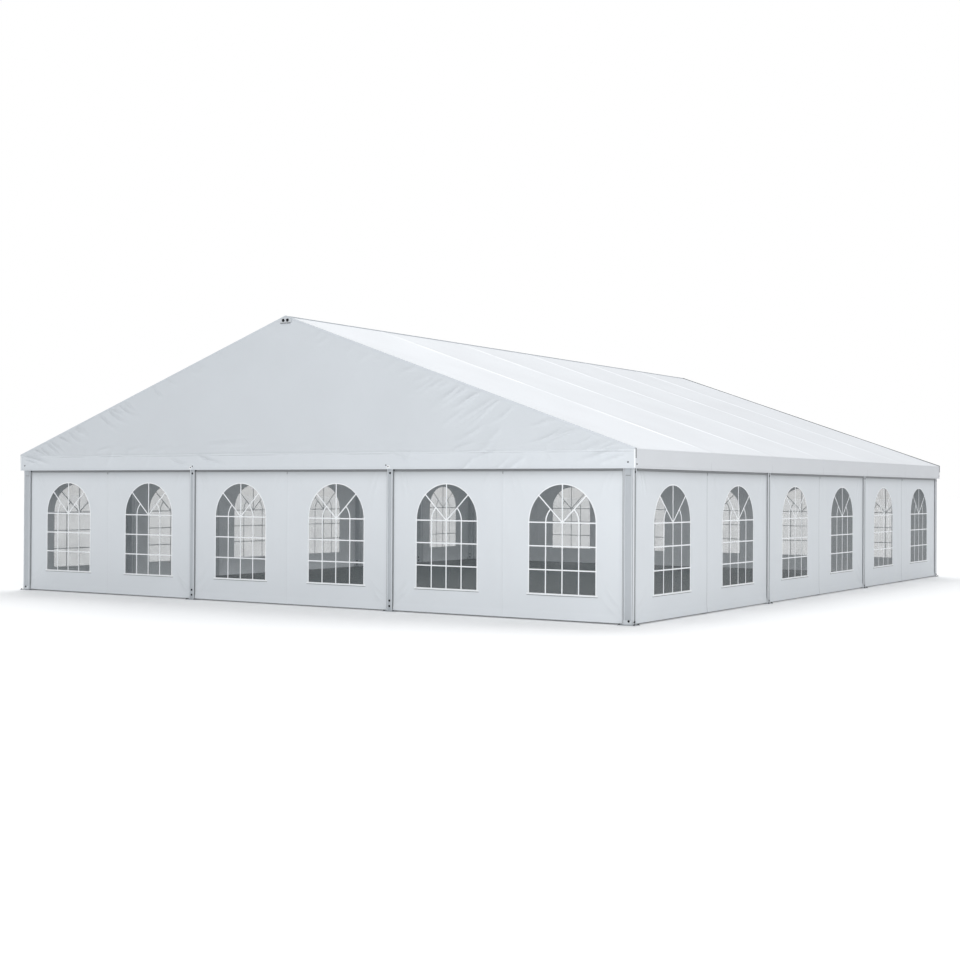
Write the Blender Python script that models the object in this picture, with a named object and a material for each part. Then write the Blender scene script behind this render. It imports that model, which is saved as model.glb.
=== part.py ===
"""Clear-span frame marquee, 15 m by 18 m, with arched clear windows in its wall curtains.

Metres, +Z up. The gables face -Y and +Y, and the origin is on the ground at the middle of the plan.
"""

import math

import bmesh
import bpy
from mathutils import Matrix, Vector

# Driving dimensions
SPAN = 15.0  # across the outer faces of the legs
BAY = 3.0  # from frame to frame
BAYS = 6
RIDGE_Z = 5.60  # outer face of the fabric at the ridge
EAVE_Z = 2.96  # outer face of the fabric at the eave edge
VALANCE_Z = 2.63  # lower edge of the valance
OVERHANG = 0.055  # from the legs' outer faces to the valance
FABRIC = 0.004
GAP = 0.0003  # between pieces that touch

# Aluminium frame
PROFILE_DEPTH = 0.20  # legs and rafters, in the plane of the frame
PROFILE_WIDTH = 0.11  # along the tent
SET_BACK = 0.07  # of the legs that stand behind a curtain
KNEE_X, KNEE_Z = 1.0, 2.72  # eave knee: its run along the rafter, and its foot on the leg
COLLAR_X = 0.35  # half width of the ridge collar
PLATE_THICK = 0.012
PLATE_OUT = 0.05  # from the leg's outer face
PLATE_IN = 0.08  # from the leg's inner face
PLATE_HALF_Y = 0.105
PURLIN_X = 3.75
PURLIN_SIZE = (0.06, 0.09)  # width and depth
RIDGE_BEAM_SIZE = (0.10, 0.16)
BEAM_THICK = 0.048  # eave and gable beams, between the legs and the valance
BEAM_Z = (2.72, 2.90)
UPRIGHT_X = 2.475  # centre of the gable uprights
UPRIGHT_WIDTH = 0.12
UPRIGHT_PLATE_X = 0.13  # half width of an upright's base plate

# Wall curtains
RECESS = 0.03  # from the legs' outer faces to the curtains
CURTAIN_TOP = 2.70
HEM_HEIGHT = 0.04
HEM_THICK = 0.03
WINDOW_SILL = 0.47
WINDOW_SPRING = 1.70
WINDOW_RISE = 0.665  # of the arch
GABLE_WINDOW_WIDTH = 1.33
GABLE_WINDOW_OFFSET = 1.215  # from the middle of its curtain
SIDE_WINDOW_WIDTH = 1.48
SIDE_WINDOW_OFFSET = BAY / 2
ARCH_STEPS = 16
FILM = 0.003
FILM_LAP = 0.045  # of the clear sheet around its windows

FLOOR_THICK = 0.05

# Worked out from the above
HALF = SPAN / 2
EAVE_X = HALF + OVERHANG
FRAMES_Y = [BAY * (i - BAYS / 2) for i in range(BAYS + 1)]
END_Y = FRAMES_Y[-1] + PROFILE_WIDTH / 2
GABLE_Y = END_Y + OVERHANG
SLOPE = (RIDGE_Z - EAVE_Z) / EAVE_X
RISE_PER_DEPTH = math.hypot(1, SLOPE)  # vertical height of a layer of unit thickness on the roof
LEG_INNER = HALF - PROFILE_DEPTH


def cover_under(x):
    """Height of the roof cover's lower face."""
    return RIDGE_Z - SLOPE * abs(x) - FABRIC * RISE_PER_DEPTH


def rafter_top(x):
    return cover_under(x) - GAP * RISE_PER_DEPTH


def rafter_bottom(x):
    return rafter_top(x) - PROFILE_DEPTH * RISE_PER_DEPTH


def principled(name, color, roughness, metallic=0.0, alpha=1.0):
    material = bpy.data.materials.new(name)
    material.use_nodes = True
    shader = material.node_tree.nodes["Principled BSDF"]
    shader.inputs["Base Color"].default_value = (*color, 1.0)
    shader.inputs["Roughness"].default_value = roughness
    shader.inputs["Metallic"].default_value = metallic
    shader.inputs["Alpha"].default_value = alpha
    return material


def new_object(name, mesh, material, location=(0, 0, 0)):
    """An object for the mesh, which others may share."""
    if not mesh.materials:
        mesh.materials.append(material)
    obj = bpy.data.objects.new(name, mesh)
    obj.location = location
    bpy.context.scene.collection.objects.link(obj)
    return obj


def extruded(name, outline, axis, start, end):
    """A mesh with this outline, extruded along axis from start to end.

    The outline's points are (x, z) for axis Y, (y, z) for axis X and (x, y) for axis Z.
    """
    place = {
        "X": lambda a, b: (start, a, b),
        "Y": lambda a, b: (a, start, b),
        "Z": lambda a, b: (a, b, start),
    }[axis]
    shape = bmesh.new()
    face = shape.faces.new([shape.verts.new(place(a, b)) for a, b in outline])
    swept = bmesh.ops.extrude_face_region(shape, geom=[face])["geom"]
    step = Vector([end - start if letter == axis else 0 for letter in "XYZ"])
    moved = [item for item in swept if isinstance(item, bmesh.types.BMVert)]
    bmesh.ops.translate(shape, verts=moved, vec=step)
    bmesh.ops.recalc_face_normals(shape, faces=shape.faces)
    mesh = bpy.data.meshes.new(name)
    shape.to_mesh(mesh)
    shape.free()
    return mesh


def box_mesh(name, boxes):
    """A mesh of boxes that don't touch, each from its low corner to its high corner."""
    shape = bmesh.new()
    for low, high in boxes:
        low, high = Vector(low), Vector(high)
        place = Matrix.LocRotScale((low + high) / 2, None, high - low)
        bmesh.ops.create_cube(shape, size=1.0, matrix=place)
    mesh = bpy.data.meshes.new(name)
    shape.to_mesh(mesh)
    shape.free()
    return mesh


def mirrored_outline(half):
    """The closed outline whose right half is given from the middle outwards and back."""
    return half + [(-x, z) for x, z in reversed(half) if abs(x) > 1e-9]


def boolean(obj, operation, helper_mesh):
    """Joins or cuts obj with a hidden helper, which sits where obj sits."""
    helper = bpy.data.objects.new(f"{obj.name}_{operation.lower()}_helper", helper_mesh)
    helper.location = obj.location
    helper.hide_render = True
    helper.display_type = "WIRE"
    bpy.context.scene.collection.objects.link(helper)
    modifier = obj.modifiers.new(operation.title(), "BOOLEAN")
    modifier.operation = operation
    modifier.object = helper


def frame_outline(leg_outer):
    """The portal frame from its ridge out to the eave, down the leg and back along the inside."""
    leg_inner = leg_outer - PROFILE_DEPTH
    notch_x, notch_z = PURLIN_SIZE[0] / 2 + GAP, PURLIN_SIZE[1] + GAP
    ridge_x = RIDGE_BEAM_SIZE[0] / 2 + GAP
    outer = [
        (ridge_x, rafter_top(0) - RIDGE_BEAM_SIZE[1] - GAP),
        (ridge_x, rafter_top(ridge_x)),
        (PURLIN_X - notch_x, rafter_top(PURLIN_X - notch_x)),
        (PURLIN_X - notch_x, rafter_top(PURLIN_X) - notch_z),
        (PURLIN_X + notch_x, rafter_top(PURLIN_X) - notch_z),
        (PURLIN_X + notch_x, rafter_top(PURLIN_X + notch_x)),
        (HALF, rafter_top(HALF)),
    ]
    if leg_outer < HALF:  # the eave reaches out over the curtain
        outer += [(HALF, CURTAIN_TOP + GAP), (leg_outer, CURTAIN_TOP + GAP)]
    inner = [
        (leg_outer, 0.0),
        (leg_inner, 0.0),
        (leg_inner, KNEE_Z),
        (HALF - KNEE_X, rafter_bottom(HALF - KNEE_X)),
        (COLLAR_X, rafter_bottom(COLLAR_X)),
    ]
    return mirrored_outline(outer + inner)


def portal_frames(material):
    """One aluminium frame a bay line. Every second leg stands behind a curtain that runs on past it."""
    meshes = {}
    half_width = PROFILE_WIDTH / 2
    for number, y in enumerate(FRAMES_Y, start=1):
        leg_outer = HALF if number % 2 else HALF - SET_BACK
        if leg_outer not in meshes:
            outline = frame_outline(leg_outer)
            frame = extruded("portal_frame", outline, "Y", -half_width, half_width)
            low_x = LEG_INNER - PLATE_IN
            high_x = leg_outer + (PLATE_OUT if leg_outer == HALF else 0.01)
            plates = box_mesh(
                "base_plates",
                [
                    (
                        (min(side * low_x, side * high_x), -PLATE_HALF_Y, 0),
                        (max(side * low_x, side * high_x), PLATE_HALF_Y, PLATE_THICK),
                    )
                    for side in (-1, 1)
                ],
            )
            meshes[leg_outer] = (frame, plates)
        frame, plates = meshes[leg_outer]
        obj = new_object(f"portal_frame_{number}", frame, material, (0, y, 0))
        boolean(obj, "UNION", plates)


def gable_uprights(material):
    """Posts from the ground to the end rafters."""
    half_width = UPRIGHT_WIDTH / 2
    for end, y in (("front", FRAMES_Y[0]), ("back", FRAMES_Y[-1])):
        for side, x in (("left", -UPRIGHT_X), ("right", UPRIGHT_X)):
            low, high = x - half_width, x + half_width
            outline = [
                (low, 0.0),
                (high, 0.0),
                (high, rafter_bottom(high) - GAP),
                (low, rafter_bottom(low) - GAP),
            ]
            half_y = PROFILE_WIDTH / 2
            name = f"gable_upright_{end}_{side}"
            post = extruded(name, outline, "Y", -half_y, half_y)
            plate = box_mesh(
                f"{name}_plate",
                [
                    (
                        (x - UPRIGHT_PLATE_X, -PLATE_HALF_Y, 0),
                        (x + UPRIGHT_PLATE_X, PLATE_HALF_Y, PLATE_THICK),
                    )
                ],
            )
            boolean(new_object(name, post, material, (0, y, 0)), "UNION", plate)


def wall_beams(material):
    """The ring of beams outside the legs, which the valance hides."""
    low_z, high_z = BEAM_Z
    for side, sign in (("left", -1), ("right", 1)):
        near, far = sign * (HALF + GAP), sign * (HALF + GAP + BEAM_THICK)
        low = (min(near, far), -END_Y - BEAM_THICK, low_z)
        high = (max(near, far), END_Y + BEAM_THICK, high_z)
        mesh = box_mesh(f"eave_beam_{side}", [(low, high)])
        new_object(f"eave_beam_{side}", mesh, material)
    for end, sign in (("front", -1), ("back", 1)):
        near, far = sign * (END_Y + GAP), sign * (END_Y + GAP + BEAM_THICK)
        low = (-HALF, min(near, far), low_z)
        high = (HALF, max(near, far), high_z)
        mesh = box_mesh(f"gable_beam_{end}", [(low, high)])
        new_object(f"gable_beam_{end}", mesh, material)


def roof_bars(material):
    """The ridge beam and a purlin on each slope, let into the rafters."""
    half, depth = RIDGE_BEAM_SIZE[0] / 2, RIDGE_BEAM_SIZE[1]
    bottom = rafter_top(0) - depth
    outline = [
        (half, bottom),
        (half, rafter_top(half)),
        (0, rafter_top(0)),
        (-half, rafter_top(half)),
        (-half, bottom),
    ]
    new_object("ridge_beam", extruded("ridge_beam", outline, "Y", -END_Y, END_Y), material)
    half, depth = PURLIN_SIZE[0] / 2, PURLIN_SIZE[1]
    for side, sign in (("left", -1), ("right", 1)):
        low, high = PURLIN_X - half, PURLIN_X + half
        outline = [
            (sign * low, rafter_top(PURLIN_X) - depth),
            (sign * high, rafter_top(PURLIN_X) - depth),
            (sign * high, rafter_top(high)),
            (sign * low, rafter_top(low)),
        ]
        name = f"roof_purlin_{side}"
        new_object(name, extruded(name, outline, "Y", -END_Y, END_Y), material)


def roof_covers(material):
    """One cover a bay, over the ridge from valance to valance."""
    inner_x = EAVE_X - FABRIC
    outline = mirrored_outline(
        [
            (0, RIDGE_Z),
            (EAVE_X, EAVE_Z),
            (EAVE_X, VALANCE_Z),
            (inner_x, VALANCE_Z),
            (inner_x, cover_under(inner_x)),
        ]
    )
    # the inner side closes over the middle as well
    outline.insert(5, (0, cover_under(0)))
    for number in range(1, BAYS + 1):
        start = FRAMES_Y[number - 1] + GAP / 2 if number > 1 else -GABLE_Y
        end = FRAMES_Y[number] - GAP / 2 if number < BAYS else GABLE_Y
        name = f"roof_cover_{number}"
        new_object(name, extruded(name, outline, "Y", start, end), material)


def gable_covers(material):
    """The fabric triangle over each gable, with its valance band."""
    edge = EAVE_X - FABRIC - GAP
    outline = mirrored_outline(
        [(0, rafter_top(0)), (edge, rafter_top(edge)), (edge, VALANCE_Z)]
    )
    for end, sign in (("front", -1), ("back", 1)):
        faces = sorted((sign * GABLE_Y, sign * (GABLE_Y - FABRIC)))
        name = f"gable_cover_{end}"
        new_object(name, extruded(name, outline, "Y", *faces), material)


def arch_outline(centre, width, lap=0.0):
    """A window opening, or the film that laps it: a rectangle under an arch, from its lower left."""
    half = width / 2 + lap
    points = [(centre - half, WINDOW_SILL - lap), (centre + half, WINDOW_SILL - lap)]
    for step in range(ARCH_STEPS + 1):
        angle = math.pi * step / ARCH_STEPS
        rise = (WINDOW_RISE + lap) * math.sin(angle)
        points.append((centre + half * math.cos(angle), WINDOW_SPRING + rise))
    return points


def film_outline(windows, width):
    """The clear sheet over two windows, in one with a strip under their sills."""
    left, right = (arch_outline(centre, width, FILM_LAP) for centre in windows)
    half = width / 2 + FILM_LAP
    strip = [(windows[1] - half, WINDOW_SILL), (windows[0] + half, WINDOW_SILL)]
    return left[:1] + right[1:] + strip + left[2:]


def curtain(name, axis, ends, face, sign, windows, width, materials):
    """A wall curtain with a thick hem, two window openings and the clear sheet that closes them.

    It runs along axis between ends; face is its outer face's distance from the middle of the tent.
    """
    across = "Y" if axis == "X" else "X"
    inner, outer = sorted((sign * (face - FABRIC), sign * face))
    middle = sign * (face - FABRIC / 2)
    hem_low, hem_high = middle - HEM_THICK / 2, middle + HEM_THICK / 2
    bottom = PLATE_THICK + GAP
    profile = [
        (hem_low, bottom),
        (hem_high, bottom),
        (hem_high, bottom + HEM_HEIGHT),
        (outer, bottom + HEM_HEIGHT),
        (outer, CURTAIN_TOP),
        (inner, CURTAIN_TOP),
        (inner, bottom + HEM_HEIGHT),
        (hem_low, bottom + HEM_HEIGHT),
    ]
    obj = new_object(name, extruded(name, profile, axis, *ends), materials["curtain"])
    cutter = bmesh.new()
    for centre in windows:
        opening = extruded("opening", arch_outline(centre, width), across, inner - 0.05, outer + 0.05)
        cutter.from_mesh(opening)
        bpy.data.meshes.remove(opening)
    openings = bpy.data.meshes.new(f"{name}_openings")
    cutter.to_mesh(openings)
    cutter.free()
    boolean(obj, "DIFFERENCE", openings)

    sheet = sorted((sign * (face + GAP), sign * (face + GAP + FILM)))
    outline = film_outline(windows, width)
    film_name = name.replace("curtain", "window_film")
    new_object(film_name, extruded(film_name, outline, across, *sheet), materials["film"])


def gable_curtains(materials):
    """Three curtains in each gable, between the corner legs and the uprights."""
    face = END_Y - RECESS
    post_inner = UPRIGHT_X - UPRIGHT_WIDTH / 2 - GAP
    post_outer = UPRIGHT_X + UPRIGHT_WIDTH / 2 + GAP
    corner = LEG_INNER - GAP
    spans = {
        "left": (-corner, -post_outer),
        "centre": (-post_inner, post_inner),
        "right": (post_outer, corner),
    }
    for end, sign in (("front", -1), ("back", 1)):
        for part, ends in spans.items():
            middle = sum(ends) / 2
            windows = (middle - GABLE_WINDOW_OFFSET, middle + GABLE_WINDOW_OFFSET)
            name = f"gable_curtain_{end}_{part}"
            curtain(name, "X", ends, face, sign, windows, GABLE_WINDOW_WIDTH, materials)


def side_curtains(materials):
    """Three curtains on each side, two bays wide, between the legs that show."""
    face = HALF - RECESS
    half_width = PROFILE_WIDTH / 2 + GAP
    for side, sign in (("left", -1), ("right", 1)):
        for number in range(1, BAYS // 2 + 1):
            low, high = FRAMES_Y[2 * number - 2], FRAMES_Y[2 * number]
            ends = (low + half_width, high - half_width)
            middle = (low + high) / 2
            windows = (middle - SIDE_WINDOW_OFFSET, middle + SIDE_WINDOW_OFFSET)
            name = f"side_curtain_{side}_{number}"
            curtain(name, "Y", ends, face, sign, windows, SIDE_WINDOW_WIDTH, materials)


def floor_deck(material):
    """The boarded floor, between the base plates."""
    half_x = LEG_INNER - PLATE_IN - GAP
    half_y = FRAMES_Y[-1] - PLATE_HALF_Y - GAP
    mesh = box_mesh("floor_deck", [((-half_x, -half_y, 0), (half_x, half_y, FLOOR_THICK))])
    new_object("floor_deck", mesh, material)


def main():
    for obj in list(bpy.data.objects):
        bpy.data.objects.remove(obj, do_unlink=True)
    aluminium = principled("aluminium", (0.50, 0.52, 0.54), 0.45, metallic=0.9)
    cover = principled("roof_pvc", (0.90, 0.91, 0.92), 0.55)
    materials = {
        "curtain": principled("wall_pvc", (0.78, 0.80, 0.83), 0.55),
        "film": principled("clear_film", (0.30, 0.34, 0.36), 0.12, alpha=0.45),
    }
    deck = principled("floor_boards", (0.10, 0.12, 0.12), 0.70)
    floor_deck(deck)
    portal_frames(aluminium)
    gable_uprights(aluminium)
    wall_beams(aluminium)
    roof_bars(aluminium)
    gable_curtains(materials)
    side_curtains(materials)
    gable_covers(materials["curtain"])
    roof_covers(cover)


main()
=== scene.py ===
import math
import random

import bpy
import numpy as np
from mathutils import Matrix, Vector


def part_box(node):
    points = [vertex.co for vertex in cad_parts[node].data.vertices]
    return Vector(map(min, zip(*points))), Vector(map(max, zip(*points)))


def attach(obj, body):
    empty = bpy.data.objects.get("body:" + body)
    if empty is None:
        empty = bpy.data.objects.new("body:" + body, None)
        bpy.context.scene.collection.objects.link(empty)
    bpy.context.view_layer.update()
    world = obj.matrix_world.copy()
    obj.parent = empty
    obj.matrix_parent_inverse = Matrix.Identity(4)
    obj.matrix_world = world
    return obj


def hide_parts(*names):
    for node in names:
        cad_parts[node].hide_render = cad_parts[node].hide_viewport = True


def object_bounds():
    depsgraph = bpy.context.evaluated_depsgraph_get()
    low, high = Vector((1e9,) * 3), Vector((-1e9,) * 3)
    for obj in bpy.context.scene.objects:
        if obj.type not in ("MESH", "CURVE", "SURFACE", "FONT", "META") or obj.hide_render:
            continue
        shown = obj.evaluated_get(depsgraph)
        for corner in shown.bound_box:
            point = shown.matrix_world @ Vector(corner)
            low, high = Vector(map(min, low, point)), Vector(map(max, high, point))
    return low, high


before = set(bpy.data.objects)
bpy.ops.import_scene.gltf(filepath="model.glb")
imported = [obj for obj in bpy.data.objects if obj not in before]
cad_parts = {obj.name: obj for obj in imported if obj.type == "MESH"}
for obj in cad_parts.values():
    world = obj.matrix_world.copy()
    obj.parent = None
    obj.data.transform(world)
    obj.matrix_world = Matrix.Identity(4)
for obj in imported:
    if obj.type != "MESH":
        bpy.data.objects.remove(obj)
cadLow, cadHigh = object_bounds()
bpy.ops.object.select_all(action="DESELECT")

# The tent as a whole, outer faces of the cloth, in metres
roofLow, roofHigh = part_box("roof_cover_1")
tent = {
    "eaveX": roofHigh.x,
    "ridgeZ": roofHigh.z,
    "valanceZ": roofLow.z,
    "eaveZ": 2.96,  # where a slope meets its valance
    "gableY": cadHigh.y,
    "legX": 7.50,  # outer faces of the legs that show
    "setBack": 0.07,  # of the legs behind a curtain
    "bay": 3.0,
    "bays": 6,
    "cover": 0.0043,  # cloth and its clearance over the rafters, as in the frame
    "cloth": 0.002,  # thickness of the cloth that shows
}
slope = (tent["ridgeZ"] - tent["eaveZ"]) / tent["eaveX"]
tilt = math.atan(slope)
bayLines = [tent["bay"] * (number - tent["bays"] / 2) for number in range(tent["bays"] + 1)]


def roofOuter(x):
    return tent["ridgeZ"] - slope * abs(x)


def rafterTop(x):
    return roofOuter(x) - tent["cover"] / math.cos(tilt)


# Finishes


class Value:  # a socket that Python's own signs can reckon with
    def __init__(self, finish, socket):
        self.finish, self.socket = finish, socket

    def maths(self, operation, first, second):
        return self.finish.node("Math", {"operation": operation}, {0: first, 1: second})

    def __add__(self, other):
        return self.maths("ADD", self, other)

    def __sub__(self, other):
        return self.maths("SUBTRACT", self, other)

    def __rsub__(self, other):
        return self.maths("SUBTRACT", other, self)

    def __mul__(self, other):
        return self.maths("MULTIPLY", self, other)

    __radd__ = __add__
    __rmul__ = __mul__


class Finish:  # a material while it is wired up
    def __init__(self, name, color, roughness, metallic=0.0, alpha=1.0, specular=0.5):
        self.material = bpy.data.materials.new(name)
        self.material.use_nodes = True
        self.tree = self.material.node_tree
        self.shader = self.tree.nodes["Principled BSDF"]
        self.set({"Base Color": (*color, 1.0), "Roughness": roughness, "Metallic": metallic})
        self.set({"Alpha": alpha, "Specular IOR Level": specular})

    def feed(self, socket, value):
        if isinstance(value, Value):
            self.tree.links.new(value.socket, socket)
        else:
            socket.default_value = value

    def set(self, values):
        for name, value in values.items():
            self.feed(self.shader.inputs[name], value)

    def node(self, kind, settings=None, values=None, output=0):
        made = self.tree.nodes.new("ShaderNode" + kind)
        for name, setting in (settings or {}).items():
            if name == "stops":
                for place, color in setting[2:]:
                    made.color_ramp.elements.new(place)
                for stop, (place, color) in zip(made.color_ramp.elements, sorted(setting)):
                    stop.position = place
                    stop.color = (*color, 1.0)
            else:
                setattr(made, name, setting)
        for name, value in (values or {}).items():
            self.feed(made.inputs[name], value)
        return Value(self, made.outputs[output])

    def objectPlace(self):
        return self.node("TexCoord", output=3)

    def clothPlace(self):
        return self.node("UVMap", {"uv_map": "cloth"})

    def stretched(self, place, scale):
        return self.node("Mapping", {}, {"Vector": place, "Scale": scale})

    def noise(self, place, scale, detail=3.0, roughness=0.5):
        values = {"Vector": place, "Scale": scale, "Detail": detail, "Roughness": roughness}
        return self.node("TexNoise", {}, values)

    def ramp(self, factor, low, high, dark, light):
        return self.node("ValToRGB", {"stops": [(low, dark), (high, light)]}, {"Fac": factor})

    def along(self, place, axis):
        # one part of a place: 0 across the cloth, 1 up it
        return self.node("SeparateXYZ", {}, {"Vector": place}, axis)

    def shaded(self, color, share):
        # a colour dimmed by a share that varies
        gray = self.node("CombineColor", {}, {"Red": share, "Green": share, "Blue": share})
        settings = {"data_type": "RGBA", "blend_type": "MULTIPLY"}
        return self.node("Mix", settings, {0: 1.0, 6: color, 7: gray}, 2)

    def bump(self, height, strength, distance):
        values = {"Height": height, "Strength": strength, "Distance": distance}
        self.set({"Normal": self.node("Bump", {}, values)})


def tinted(color, share):
    return tuple(channel * share for channel in color)


def pvcFinish(name, values, marks=None, isSheet=True):
    # coated cloth: a fine weave under a satin skin, faint clouds, and a little dust
    finish = Finish(name, values["color"], values["roughness"], specular=values["specular"])
    place = finish.clothPlace() if isSheet else finish.objectPlace()
    clouds = finish.noise(place, values["cloudScale"], 4.0)
    dark, light = tinted(values["color"], values["darkest"]), values["color"]
    color = finish.ramp(clouds, 0.30, 0.70, dark, light)
    if marks:
        color = finish.shaded(color, marks(finish, place, values))
    finish.set({"Base Color": color})
    finish.set({"Roughness": clouds * 0.16 + (values["roughness"] - 0.08)})
    across = finish.node("TexWave", {"bands_direction": "X"}, {"Vector": place, "Scale": values["weave"]})
    along = finish.node("TexWave", {"bands_direction": "Y"}, {"Vector": place, "Scale": values["weave"]})
    creases = finish.noise(place, values["creaseScale"], 5.0, 0.6)
    finish.bump(across * along * 0.02 + creases * 0.98, values["bump"], 0.004)
    return finish.material


def kederPaintedLight(finish, place, values):
    # painted light along the keders: each bay is a little whiter at its welted end, a painted highlight, and greyer
    # past the next rafter, painted shade, with noise streaks through it; the later bays are painted a little darker
    # than the first, and the valance is painted darker as shade, with dark ticks at its joints
    uneven = finish.noise(place, 2.2, 3.0) * 0.012 - 0.006
    share = finish.along(place, 1) * (1 / tent["bay"]) + (uneven + tent["bays"] / 2)
    inBay = finish.node("Math", {"operation": "FRACT"}, {0: share})
    stops = [(at, (level, level, level)) for at, level in values["bayShade"]]
    bay = finish.node("ValToRGB", {"stops": stops}, {"Fac": inBay})
    patches = finish.noise(finish.stretched(place, (1.0, 0.05, 1.0)), 0.7, 3.0)
    # a painted highlight line at each welted end, shown in patches
    shows = finish.node("MapRange", {}, {0: patches, 1: 0.42, 2: 0.58, 3: 0.2, 4: values["jointShine"]})
    bay = bay + finish.node("MapRange", {}, {0: inBay, 1: 0.979, 2: 0.989, 3: 0.0, 4: 1.0}) * shows
    streaks = finish.noise(finish.stretched(place, (0.30, 5.0, 1.0)), 1.0, 3.0) - 0.5
    strength = finish.node("MapRange", {}, {0: inBay, 1: 0.02, 2: 0.30, 3: values["streaks"], 4: 0.02})
    bay = bay * (streaks * strength + 1)
    # painted light: the first bay lighter, every later bay a little darker
    first = finish.node("MapRange", {}, {0: share, 1: 0.98, 2: 1.02, 3: 1.0, 4: values["laterBaysShade"]})
    fromRidge = finish.node("Math", {"operation": "ABSOLUTE"}, {0: finish.along(place, 0)})
    reach = math.hypot(tent["eaveX"], tent["ridgeZ"] - tent["eaveZ"])
    drop = finish.node("MapRange", {}, {0: fromRidge, 1: reach - 0.03, 2: reach + 0.01, 3: 0.0, 4: 1.0})
    half = tent["bay"] / 2
    fromJoint = finish.node("Math", {"operation": "PINGPONG"}, {0: finish.along(place, 1) + 6 * half, 1: half})
    fromMiddle = finish.node("Math", {"operation": "ABSOLUTE"}, {0: finish.along(place, 1)})
    atEnd = finish.node("MapRange", {}, {0: fromMiddle, 1: 8.0, 2: 8.5, 3: 0.0, 4: 1.0})
    high = finish.node("MapRange", {}, {0: fromRidge, 1: reach + 0.10, 2: reach + 0.20, 3: 1.0, 4: 0.0})
    # the valance painted darker than the slopes of the same cloth, as shade, with dark ticks at the bay joints
    tick = finish.node("MapRange", {}, {0: fromJoint + atEnd + high * 0.02, 1: 0.008, 2: 0.013, 3: values["tick"], 4: values["valance"]})
    return bay * first * (1 - drop) + drop * tick


def bandSeamPaintedLight(finish, place, values):
    # the band under the seam is whiter, and the seam is a painted highlight line over a painted shadow line, shown in
    # patches
    height = finish.along(place, 1)
    seam = tent["eaveZ"] - 0.01
    # painted shadow just under the seam, then a painted highlight line above it
    lines = [(seam - 0.046, 1.0), (seam - 0.038, 0.86), (seam - 0.024, 0.86), (seam - 0.018, 1.07)]
    lines += [(seam - 0.004, 1.07), (seam + 0.004, values["upper"])]
    low, high = seam - 0.06, seam + 0.06
    share = finish.node("MapRange", {}, {0: height, 1: low, 2: high, 3: 0.0, 4: 1.0})
    stops = [(0.0, 1.0), (1.0, values["upper"])] + [((at - low) / (high - low), level) for at, level in lines]
    gray = [(at, (level / 1.10, level / 1.10, level / 1.10)) for at, level in stops]
    seen = finish.node("ValToRGB", {"stops": gray}, {"Fac": share}) * 1.10
    plain = finish.node("MapRange", {}, {0: height, 1: seam - 0.01, 2: seam + 0.01, 3: 1.0, 4: values["upper"]})
    patches = finish.noise(finish.stretched(place, (1.0, 0.05, 1.0)), 0.8, 2.0)
    shows = finish.node("MapRange", {}, {0: patches, 1: 0.46, 2: 0.54, 3: 0.15, 4: 1.0})
    return plain + (seen - plain) * shows


def curtainMarksAndShade(finish, place, values):
    # a whiter doubled hem, the stitched line down the middle, and painted shadow under the valance, darkest at the
    # top
    height = finish.along(place, 1)
    hem = finish.node("MapRange", {}, {0: height, 1: values["hem"], 2: values["hem"] + 0.03, 3: 1.0, 4: values["plain"]})
    fromMiddle = finish.node("Math", {"operation": "ABSOLUTE"}, {0: finish.along(place, 0)})
    seam = values["seam"]
    line = finish.node("MapRange", {}, {0: fromMiddle, 1: seam, 2: seam * 1.6, 3: values["seamShade"], 4: 1.0})
    # painted shadow under the valance at the top of the curtain
    low, high = values["topShade"][0][0], values["topShade"][-1][0]
    top = finish.node("MapRange", {}, {0: height, 1: low, 2: high, 3: 0.0, 4: 1.0})
    shade = [((at - low) / (high - low), (level, level, level)) for at, level in values["topShade"]]
    shade = [shade[0], shade[-1]] + shade[1:-1]
    return hem * line * finish.node("ValToRGB", {"stops": shade}, {"Fac": top})


def aluminiumFinish(name, values):
    # extruded aluminium, faintly drawn along its length
    finish = Finish(name, values["color"], values["roughness"], metallic=values["metallic"])
    drawn = finish.noise(finish.stretched(finish.objectPlace(), values["drawn"]), 9.0, 2.0)
    dark, light = tinted(values["color"], 0.95), tinted(values["color"], 1.04)
    finish.set({"Base Color": finish.ramp(drawn, 0.3, 0.7, dark, light)})
    finish.set({"Roughness": drawn * 0.2 + (values["roughness"] - 0.1)})
    return finish.material


def boltFinish(values):
    finish = Finish("blackBolts", values["color"], values["roughness"], metallic=values["metallic"])
    scuffs = finish.noise(finish.objectPlace(), 240.0, 2.0)
    finish.set({"Roughness": scuffs * 0.3 + 0.3})
    return finish.material


def filmFinish(values):
    # clear sheet: smoky, glossy and slightly hazy
    finish = Finish("clearFilm", values["color"], values["roughness"], alpha=values["alpha"])
    haze = finish.noise(finish.clothPlace(), 1.7, 3.0)
    finish.set({"Roughness": haze * 0.12 + 0.03})
    finish.set({"Alpha": haze * 0.14 + (values["alpha"] - 0.07)})
    finish.bump(finish.noise(finish.clothPlace(), 2.6, 2.0), 0.35, 0.01)
    return finish.material


def boardFinish(values):
    # film-faced floor boards, each with its own shade
    finish = Finish("floorBoards", values["color"], values["roughness"])
    place = finish.objectPlace()
    grain = finish.noise(finish.stretched(place, (14.0, 0.8, 1.0)), 2.0, 5.0)
    dark, light = tinted(values["color"], 0.6), tinted(values["color"], 1.5)
    finish.set({"Base Color": finish.ramp(grain, 0.3, 0.7, dark, light)})
    finish.set({"Roughness": grain * 0.3 + (values["roughness"] - 0.15)})
    finish.bump(finish.noise(place, 160.0, 2.0), 0.3, 0.002)
    return finish.material


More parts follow.
